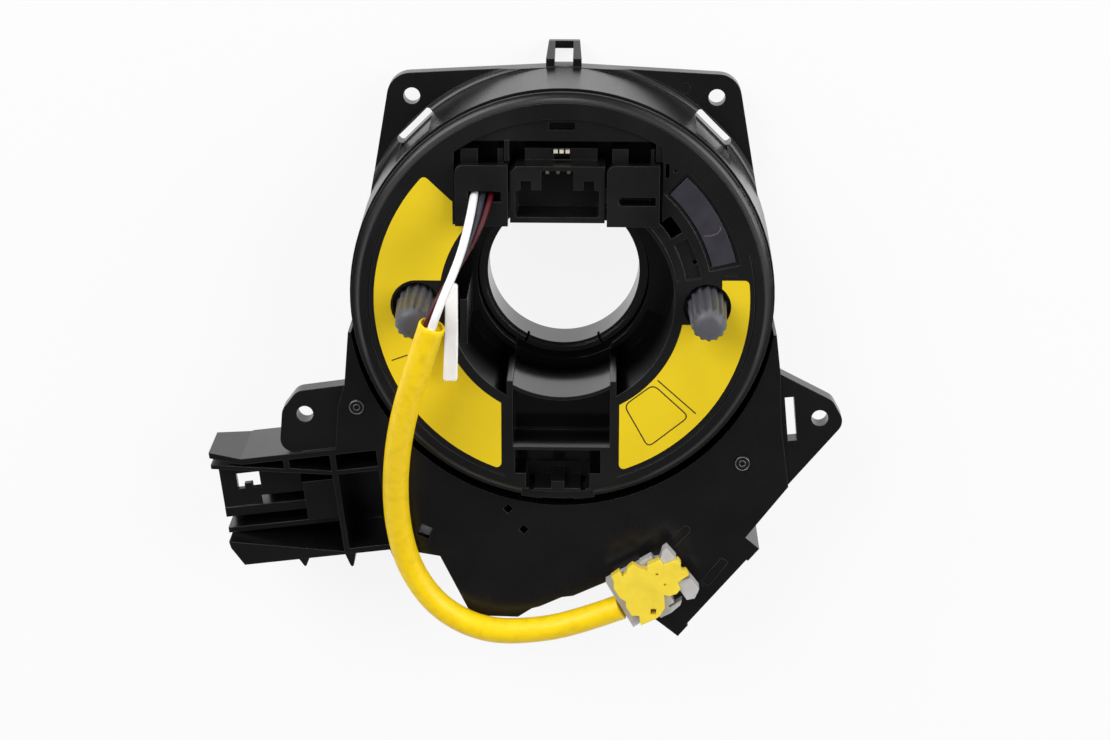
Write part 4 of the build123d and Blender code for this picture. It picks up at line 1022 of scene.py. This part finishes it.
@dataclass
class Harness:
    """Three leads, the yellow sleeve over them and the plug at its end."""

    sleeve_radius_mm: float = 3.25
    lip_wall_mm: float = 0.55
    lip_length_mm: float = 0.9
    lip_back_mm: float = 0.6
    lip_proud_mm: float = 0.02
    lip_round_mm: float = 0.15
    lip_bevel_mm: tuple[float, float] = (0.12, 0.1)
    lip_ripples: tuple[tuple[float, int, float], ...] = ((0.012, 3, 0.7), (0.008, 7, 0.0))
    lip_steps: int = 72
    sleeve_route_mm: tuple[Point, ...] = (
        (-30.8, -0.8, 52.6), (-35.0, -13.5, 50.0), (-39.0, -28.0, 45.4), (-41.2, -43.0, 39.6),
        (-41.4, -57.5, 34.6), (-38.8, -71.2, 31.6), (-31.2, -82.9, 30.9), (-19.0, -89.2, 30.8),
        (-4.6, -88.4, 31.0), (6.6, -84.9, 31.8), (15.3, -80.9, 33.0),
    )

    def leads(self) -> list[Lead]:
        """The three leads with their routes.

        Returns:
            The white, the red and the grey lead.
        """
        return [
            Lead("white_lead", 1.0, [(-21.1, 27.7, 31.4), (-21.1, 27.7, 38.8),
                                     (-22.0, 22.8, 45.2), (-24.2, 15.0, 49.6),
                                     (-29.0, 4.5, 55.2), (-31.1, -2.0, 53.9)],
                 Slot.WHITE_WIRE),
            Lead("red_lead", 0.65, [(-17.0, 27.7, 31.4), (-17.0, 27.7, 38.0),
                                    (-19.0, 22.0, 42.8), (-23.4, 14.0, 45.4),
                                    (-30.2, 5.2, 52.4), (-32.5, -1.2, 52.5)],
                 Slot.RED_WIRE),
            Lead("grey_lead", 0.75, [(-19.0, 27.7, 31.4), (-19.0, 27.7, 37.8),
                                     (-20.6, 22.0, 43.6), (-23.8, 14.4, 47.4),
                                     (-28.6, 5.0, 52.2), (-30.7, -1.6, 51.4)],
                 Slot.GREY_WIRE),
        ]

    def sleeve(self, material: bpy.types.Material) -> bpy.types.Object:
        """Makes the yellow sleeve with its cut end.

        Args:
            material: Its soft plastic.

        Returns:
            The curve object.
        """
        route = Route(list(self.sleeve_route_mm))
        mouth = self.mouth(material)
        piece = route.curve("yellow_sleeve_tube", self.sleeve_radius_mm)
        piece.data.materials.append(material)
        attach(piece, Body.ROTOR.value)
        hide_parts("yellow_sleeve")
        route.length()
        LOG.info("yellow sleeve")
        return piece

    def mouth(self, material: bpy.types.Material) -> bpy.types.Object:
        """Makes the sleeve's cut end: a short lip that stands past the filled tube.

        Args:
            material: The sleeve's soft plastic.

        Returns:
            The lip's object.
        """
        centre = Vector(self.sleeve_route_mm[0]) * MM
        along = (Vector(self.sleeve_route_mm[0]) - Vector(self.sleeve_route_mm[1])).normalized()
        side = along.cross(Vector((0.0, 0.0, 1.0))).normalized()
        rise = side.cross(along)
        outer = self.sleeve_radius_mm + self.lip_proud_mm
        inner = self.sleeve_radius_mm - self.lip_wall_mm
        length, turned = self.lip_length_mm, self.lip_round_mm
        bevel, drop = self.lip_bevel_mm
        profile = ((inner, self.lip_proud_mm), (inner, length - drop), (inner + bevel, length),
                   (outer - turned, length), (outer, length - turned),
                   (outer, -self.lip_back_mm))
        vertices = []
        for step in range(self.lip_steps):
            angle = 2 * math.pi * step / self.lip_steps
            out = math.cos(angle) * side + math.sin(angle) * rise
            ripple = 1.0 + sum(height * math.sin(waves * angle + shift)
                               for height, waves, shift in self.lip_ripples)
            vertices += [tuple(centre + out * radius * ripple * MM + along * reach * MM)
                         for radius, reach in profile]
        count = len(profile)
        faces = []
        for step in range(self.lip_steps):
            after = (step + 1) % self.lip_steps
            for row in range(count - 1):
                faces.append((step * count + row, step * count + row + 1,
                              after * count + row + 1, after * count + row))
        piece = piece_from("sleeve_mouth", vertices, faces, material, Body.ROTOR)
        smooth_sides(piece)
        return piece

    def build(self, finishes: Finishes) -> None:
        """Makes the whole harness.

        Args:
            finishes: The object's finishes.
        """
        materials = (finishes.white_wire, finishes.red_wire, finishes.grey_wire)
        for lead, material in zip(self.leads(), materials):
            lead.build(material)
        self.sleeve(finishes.tube)
        dress("plug_cover", finishes.plug_cover)
        dress("plug_carrier", finishes.plug_carrier)


@dataclass(frozen=True)
class TurnedRing:
    """A small turned ring or dish that stands on a face."""

    name: str
    profile_mm: Outline
    steps: int = 48

    def build(self, place_mm: Point, material: bpy.types.Material, slot: Slot, body: Body,
              ) -> bpy.types.Object:
        """Makes the ring.

        Args:
            place_mm: Its centre, on the face.
            material: Its finish.
            slot: The record's slot of its finish; not used.
            body: The body that carries it.

        Returns:
            The ring's object.
        """
        rows = len(self.profile_mm)
        vertices = []
        for step in range(self.steps):
            angle = 2 * math.pi * step / self.steps
            for radius, height in self.profile_mm:
                vertices.append(((place_mm[0] + radius * math.cos(angle)) * MM,
                                 (place_mm[1] + radius * math.sin(angle)) * MM,
                                 (place_mm[2] + height) * MM))
        faces = []
        for step in range(self.steps):
            after = (step + 1) % self.steps
            for row in range(rows):
                up = (row + 1) % rows
                faces.append((step * rows + row, step * rows + up, after * rows + up,
                              after * rows + row))
        return piece_from(self.name, vertices, faces, material, body)


@dataclass
class Housing:
    """The moulded housing with its back covers, screws, contacts and seams."""

    screw_rim_mm: Outline = (
        (1.62, 0.01), (1.62, 0.10), (1.72, 0.16), (1.84, 0.10), (1.84, 0.01),
    )
    screw_socket_mm: Outline = (
        (0.62, 0.01), (0.62, 0.05), (0.74, 0.09), (0.90, 0.05), (0.90, 0.01),
    )
    latch_outline_mm: Outline = (
        (40.87, -69.59), (42.81, -70.78), (37.65, -77.59), (35.88, -76.22),
    )
    slot_outline_mm: Outline = (
        (28.17, -64.38), (31.15, -61.12), (31.72, -60.93), (32.35, -61.20), (32.78, -61.78),
        (32.75, -62.64), (29.32, -66.62),
    )
    latch_round_mm: float = 0.6
    flange_mark_mm: Point = (30.22, 47.46, 4.0)
    flange_ring_mm: Outline = ((1.25, 0.0), (1.25, 0.05), (1.4, 0.05), (1.4, 0.0))
    body_level_mm: float = 27.0
    seam_width_mm: float = 0.3

    def seams(self, finishes: Finishes) -> None:
        """Lays the dark seams of the column socket's latch and slot, and the flange's ring.

        Args:
            finishes: The object's finishes.
        """
        level = self.body_level_mm * MM
        outline = RoundedOutline(self.latch_outline_mm, self.latch_round_mm).points()
        for line in (PrintedLine("latch_seam", outline, self.seam_width_mm, closed=True),
                     PrintedLine("slot_seam", self.slot_outline_mm, self.seam_width_mm)):
            line.build(level, finishes.seam, Slot.BLACK, Body.STATOR)
        TurnedRing("flange_mark", self.flange_ring_mm).build(
            self.flange_mark_mm, finishes.housing, Slot.BLACK, Body.STATOR)

    def screw_places(self) -> list[Point]:
        """Centres of the case screws' heads, in millimetres.

        Returns:
            One point for each screw, on top of its head.
        """
        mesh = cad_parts["case_screws"].data
        places = []
        for side in (-1, 1):
            points = [vertex.co for vertex in mesh.vertices if vertex.co.x * side > 0]
            spans = [(min(point[axis] for point in points), max(point[axis] for point in points))
                     for axis in range(3)]
            places.append((sum(spans[0]) / 2 / MM, sum(spans[1]) / 2 / MM, spans[2][1] / MM))
        return places

    def screw_rims(self, finishes: Finishes) -> None:
        """Adds the rolled rim and the socket's rim to the case screws.

        Args:
            finishes: The object's finishes.
        """
        for index, place in enumerate(self.screw_places()):
            for part, profile in (("rim", self.screw_rim_mm), ("socket", self.screw_socket_mm)):
                TurnedRing(f"case_screw_{part}_{index}", profile).build(
                    place, finishes.screw_rim, Slot.SCREW, Body.STATOR)

    def build(self, finishes: Finishes) -> None:
        """Dresses the housing's nodes and finishes its screws.

        Args:
            finishes: The object's finishes.
        """
        for node in ("stator_housing", "rear_cover", "lower_rear_cover"):
            dress(node, finishes.housing)
        dress("column_contact_carrier", finishes.connector)
        dress("column_contact_blades", finishes.contact)
        dress("case_screws", finishes.screw)
        dress("rear_cover_screws", finishes.screw)
        dress("flat_cable", finishes.laminate)
        dress("lower_slide_film", finishes.film)
        self.screw_rims(finishes)
        self.seams(finishes)


@dataclass(frozen=True)
class DrivePeg:
    """A fluted drive peg: shallow grooves run out on its flattened dome."""

    node: str
    flutes: int = 14
    base_radius_mm: float = 4.9
    tip_radius_mm: float = 4.35
    groove_mm: float = 0.66
    groove_power: float = 1.25
    groove_end_rad: float = 0.75
    groove_end_power: float = 0.7
    collar_mm: float = 2.2
    collar_edge_mm: float = 0.2
    dome_mm: float = 2.6
    dome_flat_mm: float = 1.5
    cap_radius_mm: float = 0.7
    flank_rows: int = 8
    dome_rows: int = 12
    steps_per_flute: int = 12

    def profile(self, low: float, high: float) -> list[tuple[float, float, float]]:
        """Rows of radius, height and groove depth, in millimetres.

        Args:
            low: Height of the peg's foot.
            high: Height of its top.

        Returns:
            The rows from foot to top.
        """
        base, tip, flat = self.base_radius_mm, self.tip_radius_mm, self.dome_flat_mm
        rows = [(base, low, 0.0), (base, low + self.collar_mm, 0.0)]
        foot = low + self.collar_mm + self.collar_edge_mm
        shoulder = high - self.dome_mm
        for step in range(self.flank_rows + 1):
            share = step / self.flank_rows
            rows.append((base + (tip - base) * share, foot + (shoulder - foot) * share,
                         self.groove_mm))
        for step in range(1, self.dome_rows + 1):
            turn = math.pi / 2 * step / self.dome_rows
            fade = max(0.0, 1.0 - turn / self.groove_end_rad) ** self.groove_end_power
            rows.append((flat + (tip - flat) * math.cos(turn),
                         shoulder + self.dome_mm * math.sin(turn), self.groove_mm * fade))
        rows.append((self.cap_radius_mm, high, 0.0))
        return rows

    def build(self, material: bpy.types.Material) -> bpy.types.Object:
        """Makes the peg in place of its plain node.

        Args:
            material: Its finish.

        Returns:
            The peg's object.
        """
        low_corner, high_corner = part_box(self.node)
        centre_x = (low_corner[0] + high_corner[0]) / 2
        centre_y = (low_corner[1] + high_corner[1]) / 2
        low, high = low_corner[2] / MM, high_corner[2] / MM
        count = self.flutes * self.steps_per_flute
        rows = self.profile(low, high)
        vertices = []
        for radius, height, depth in rows:
            for step in range(count):
                angle = 2 * math.pi * step / count
                wave = 0.5 + 0.5 * math.cos(self.flutes * angle)
                reach = (radius - depth * wave ** self.groove_power) * MM
                vertices.append((centre_x + reach * math.cos(angle),
                                 centre_y + reach * math.sin(angle), height * MM))
        piece = piece_from(self.node + "_fluted", vertices, band_faces(len(rows), count),
                           material, Body.ROTOR)
        smooth_sides(piece)
        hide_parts(self.node)
        return piece


@dataclass(frozen=True)
class LockStrap:
    """White locking strap: a rounded flat bar, wider at its free end, which rises."""

    top_mm: Point = (-26.95, 4.8, 33.7)
    crease_y_mm: float = -7.6
    end_mm: Point = (-27.3, -18.9, 38.1)
    width_top_mm: float = 3.0
    width_end_mm: float = 3.6
    thickness_mm: float = 1.08
    end_round_mm: float = 0.7
    crease_mm: float = 1.6
    side_power: float = 0.28
    face_power: float = 0.45
    stations: int = 56
    section_steps: int = 28

    def station(self, share: float) -> tuple[Vector, float, float]:
        """Centre, width and slope of the strap at a share of its length.

        Args:
            share: From 0 at its top to 1 at its free end.

        Returns:
            The centre and the width in millimetres, and the slope.
        """
        y = self.top_mm[1] + (self.end_mm[1] - self.top_mm[1]) * share
        x = self.top_mm[0] + (self.end_mm[0] - self.top_mm[0]) * share
        past = max(0.0, self.crease_y_mm - y)
        run = self.crease_y_mm - self.end_mm[1]
        rise = self.end_mm[2] - self.top_mm[2]
        half = self.crease_mm / 2
        full_slope = rise / (run - half)
        slope = full_slope * min(1.0, past / self.crease_mm)
        eased = past * past / (2 * self.crease_mm) if past < self.crease_mm else past - half
        height = full_slope * eased
        length = self.top_mm[1] - self.end_mm[1]
        near_end = min(share, 1.0 - share) * length
        cut = max(0.0, self.end_round_mm - near_end)
        inset = self.end_round_mm - math.sqrt(max(0.0, self.end_round_mm ** 2 - cut ** 2))
        width = self.width_top_mm + (self.width_end_mm - self.width_top_mm) * share - 2 * inset
        return Vector((x, y, self.top_mm[2] + height)), width, slope

    def build(self, material: bpy.types.Material) -> bpy.types.Object:
        """Makes the strap in place of its plain node.

        Args:
            material: Its finish.

        Returns:
            The strap's object.
        """
        vertices = []
        for index in range(self.stations + 1):
            share = 0.5 - 0.5 * math.cos(math.pi * index / self.stations)
            centre, width, slope = self.station(share)
            lean = math.atan(slope)
            for step in range(self.section_steps):
                angle = 2 * math.pi * (step + 0.5) / self.section_steps
                across = math.copysign(abs(math.cos(angle)) ** self.side_power,
                                       math.cos(angle))
                rise = math.copysign(abs(math.sin(angle)) ** self.face_power, math.sin(angle))
                lift = rise * self.thickness_mm / 2
                vertices.append(((centre.x + across * width / 2) * MM,
                                 (centre.y + lift * math.sin(lean)) * MM,
                                 (centre.z + lift * math.cos(lean)) * MM))
        faces = band_faces(self.stations + 1, self.section_steps)
        piece = piece_from("lock_strap_bar", vertices, faces, material, Body.ROTOR)
        smooth_sides(piece)
        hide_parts("lock_strap")
        return piece


@dataclass
class LabelRules:
    """The thin plain lines on the labels, and the empty rounded frame."""

    frame_corners_mm: Outline = (
        (22.76, -21.10), (31.70, -29.42), (21.66, -37.57), (15.61, -26.61),
    )
    frame_round_mm: float = 1.7
    right_rule_mm: Outline = ((23.79, -19.94), (33.42, -28.61))
    left_rule_mm: Outline = ((-42.09, -15.33), (-38.10, -13.87))
    line_width_mm: float = 0.32

    def build(self, finishes: Finishes) -> None:
        """Lays the lines on the labels.

        Args:
            finishes: The object's finishes.
        """
        frame_points = RoundedOutline(self.frame_corners_mm, self.frame_round_mm).points()
        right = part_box("right_label")[1][2]
        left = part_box("left_label")[1][2]
        for line, level in (
            (PrintedLine("label_frame", frame_points, self.line_width_mm, closed=True), right),
            (PrintedLine("label_rule_right", self.right_rule_mm, self.line_width_mm), right),
            (PrintedLine("label_rule_left", self.left_rule_mm, self.line_width_mm), left),
        ):
            line.build(level, finishes.rule, Slot.LABEL)


@dataclass
class Rotor:
    """The rotor with its sleeve, pegs, window, labels and strap."""

    window_line_mm: Outline = (
        (38.40, 19.55), (38.60, 18.75), (37.80, 17.75), (36.30, 17.15), (34.60, 17.10),
    )
    window_line_width_mm: float = 0.16

    def build(self, finishes: Finishes) -> None:
        """Dresses the rotor's nodes and adds the line in the window.

        Args:
            finishes: The object's finishes.
        """
        dress("rotor", finishes.rotor)
        dress("hub_sleeve", finishes.hub)
        DrivePeg("left_drive_peg").build(finishes.peg)
        DrivePeg("right_drive_peg").build(finishes.peg)
        dress("inspection_window", finishes.window)
        dress("left_label", finishes.label)
        dress("right_label", finishes.label)
        LockStrap().build(finishes.strap)
        dress("upper_slide_film", finishes.film)
        PrintedLine("window_line", self.window_line_mm, self.window_line_width_mm).build(
            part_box("inspection_window")[1][2], finishes.window_line, Slot.WINDOW)


@dataclass
class Bay:
    """The connector group in the rotor's top bay, with the web beside the socket."""

    web_mm: Outline = ((10.72, 20.4), (10.74, 22.0), (10.72, 23.8))
    web_level_mm: float = 28.5
    web_width_mm: float = 1.1
    web_height_mm: float = 3.0

    def build(self, finishes: Finishes) -> None:
        """Dresses the bay's nodes and adds the web.

        Args:
            finishes: The object's finishes.
        """
        for node in ("lead_cover", "blank_lead_cover", "wheel_socket"):
            dress(node, finishes.connector)
        dress("socket_terminals", finishes.contact)
        PrintedLine("socket_web", self.web_mm, self.web_width_mm, self.web_height_mm).build(
            self.web_level_mm * MM, finishes.connector, Slot.CONNECTOR)


@dataclass(frozen=True)
class PhotoCamera:
    """The photograph's camera."""

    distance_mm: float = 654.97
    tilt_deg: float = 18.19
    azimuth_deg: float = 1.16
    roll_deg: float = 0.09
    aim_mm: Point = (-1.73, -19.49, 27.0)
    focal_px: float = 2620.0
    image_width_px: float = 1110.0
    sensor_mm: float = 36.0
    clip_m: tuple[float, float] = (0.01, 20.0)

    def build(self) -> bpy.types.Object:
        """Places the camera.

        Returns:
            The camera object.
        """
        tilt = math.radians(self.tilt_deg)
        azimuth = math.radians(self.azimuth_deg)
        roll = math.radians(self.roll_deg)
        back = Vector((math.sin(azimuth) * math.cos(tilt), math.sin(tilt),
                       math.cos(azimuth) * math.cos(tilt)))
        forward = -back
        right = forward.cross(Vector((0.0, 1.0, 0.0))).normalized()
        up = right.cross(forward)
        level_right = math.cos(roll) * right + math.sin(roll) * up
        level_up = -math.sin(roll) * right + math.cos(roll) * up
        data = bpy.data.cameras.new("photo_camera")
        data.sensor_width = self.sensor_mm
        data.lens = self.focal_px / self.image_width_px * data.sensor_width
        data.clip_start, data.clip_end = self.clip_m
        camera = bpy.data.objects.new("photo_camera", data)
        bpy.context.scene.collection.objects.link(camera)
        place = Matrix((level_right, level_up, back)).transposed().to_4x4()
        place.translation = (Vector(self.aim_mm) + self.distance_mm * back) * MM
        camera.matrix_world = place
        bpy.context.scene.camera = camera
        return camera


@dataclass(frozen=True)
class Lamp:
    """One soft square lamp."""

    name: str
    place_m: Point
    aim_m: Point
    size_m: float
    power_w: float

    def build(self) -> None:
        """Hangs the lamp and turns it to its aim."""
        data = bpy.data.lights.new(self.name, "AREA")
        data.size = self.size_m
        data.energy = self.power_w
        lamp = bpy.data.objects.new(self.name, data)
        bpy.context.scene.collection.objects.link(lamp)
        lamp.location = self.place_m
        direction = Vector(self.aim_m) - Vector(self.place_m)
        lamp.rotation_euler = direction.to_track_quat("-Z", "Y").to_euler()


@dataclass(frozen=True)
class Studio:
    """White table, pale surroundings that dim overhead, and soft lamps."""

    floor_size_m: float = 8.0
    floor_colour: float = 0.86
    floor_seen_colour: float = 0.10
    floor_seen_glow: float = 0.885
    world_low: float = 0.85
    world_low_height: float = 0.1
    world_high: float = 0.12
    world_high_height: float = 0.8
    world_colour: Point = (0.98, 0.985, 1.0)
    floor_tint: Point = (0.99, 0.99, 1.0)
    floor_fleck_mm: float = 30.0
    floor_fleck_step: float = 0.01
    lamps: tuple[Lamp, ...] = (
        Lamp("key", (-0.7, 0.75, 0.98), (0.0, -0.02, 0.02), 0.9, 12.5),
        Lamp("fill", (0.95, 0.35, 0.9), (0.0, -0.02, 0.02), 0.9, 11.0),
        Lamp("low_back", (0.0, 1.5, 0.42), (0.0, 0.0, 0.02), 0.4, 2.6),
    )

    def seen(self, tree: FinishTree) -> Socket:
        """Factor that is 1 for camera, glossy and transmission rays.

        Args:
            tree: The finish's nodes.

        Returns:
            The factor's socket.
        """
        path = tree.add("ShaderNodeLightPath")
        direct = tree.add("ShaderNodeMath", operation="MAXIMUM")
        tree.link(path.outputs["Is Camera Ray"], direct.inputs[0])
        tree.link(path.outputs["Is Glossy Ray"], direct.inputs[1])
        every = tree.add("ShaderNodeMath", operation="MAXIMUM")
        tree.link(direct.outputs[0], every.inputs[0])
        tree.link(path.outputs["Is Transmission Ray"], every.inputs[1])
        return every.outputs[0]

    def floor(self) -> bpy.types.Object:
        """Makes the floor, level with the part's lowest point.

        Returns:
            The floor object.
        """
        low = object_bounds()[0][2]
        half = self.floor_size_m / 2
        mesh = bpy.data.meshes.new("floor")
        mesh.from_pydata([(-half, -half, low), (half, -half, low), (half, half, low),
                          (-half, half, low)], [], [(0, 1, 2, 3)])
        tree = FinishTree("floor_paper")
        fleck = tree.noise(self.floor_fleck_mm, 4.0)
        paper = tree.blend(fleck, (self.floor_colour,) * 3,
                           (self.floor_colour - self.floor_fleck_step,) * 3)
        seen = self.seen(tree)
        tree.link(tree.blend(seen, paper, (self.floor_seen_colour,) * 3),
                  tree.shader.inputs["Base Color"])
        tree.set("Roughness", 0.9)
        tree.set("Specular IOR Level", 0.0)
        tree.set("Emission Color", (*self.floor_tint, 1.0))
        tree.link(tree.ranged(seen, 0.0, self.floor_seen_glow),
                  tree.shader.inputs["Emission Strength"])
        mesh.materials.append(tree.material)
        piece = bpy.data.objects.new("floor", mesh)
        bpy.context.scene.collection.objects.link(piece)
        piece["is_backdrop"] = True
        return piece

    def world(self) -> None:
        """Makes the surroundings: bright at the horizon, dim overhead, white where seen."""
        world = bpy.data.worlds.new("studio")
        world.use_nodes = True
        nodes, links = world.node_tree.nodes, world.node_tree.links
        background = nodes["Background"]
        background.inputs["Color"].default_value = (*self.world_colour, 1.0)
        direction = nodes.new("ShaderNodeTexCoord")
        axes = nodes.new("ShaderNodeSeparateXYZ")
        links.new(direction.outputs["Generated"], axes.inputs["Vector"])
        height = nodes.new("ShaderNodeMapRange")
        height.interpolation_type = "SMOOTHSTEP"
        for name, value in (("From Min", self.world_low_height), ("To Min", self.world_low),
                            ("From Max", self.world_high_height), ("To Max", self.world_high)):
            height.inputs[name].default_value = value
        links.new(axes.outputs["Z"], height.inputs["Value"])
        path = nodes.new("ShaderNodeLightPath")
        strength = nodes.new("ShaderNodeMix")
        links.new(path.outputs["Is Camera Ray"], strength.inputs["Factor"])
        links.new(height.outputs["Result"], strength.inputs["A"])
        strength.inputs["B"].default_value = 1.0
        links.new(strength.outputs["Result"], background.inputs["Strength"])
        bpy.context.scene.world = world

    def build(self) -> None:
        """Makes floor, surroundings and lamps."""
        self.floor()
        self.world()
        for lamp in self.lamps:
            lamp.build()
        bpy.context.scene.view_settings.view_transform = "Standard"


def main() -> None:
    """Builds the studio and every sub-assembly in order."""
    logging.basicConfig(level=logging.INFO)
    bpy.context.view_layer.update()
    PhotoCamera().build()
    finishes = Finishes()
    for assembly in (Housing(), Rotor(), LabelRules(), Bay(), Harness()):
        assembly.build(finishes)
        LOG.info("built %s", type(assembly).__name__)
    Studio().build()


if __name__ == "__main__":
    main()
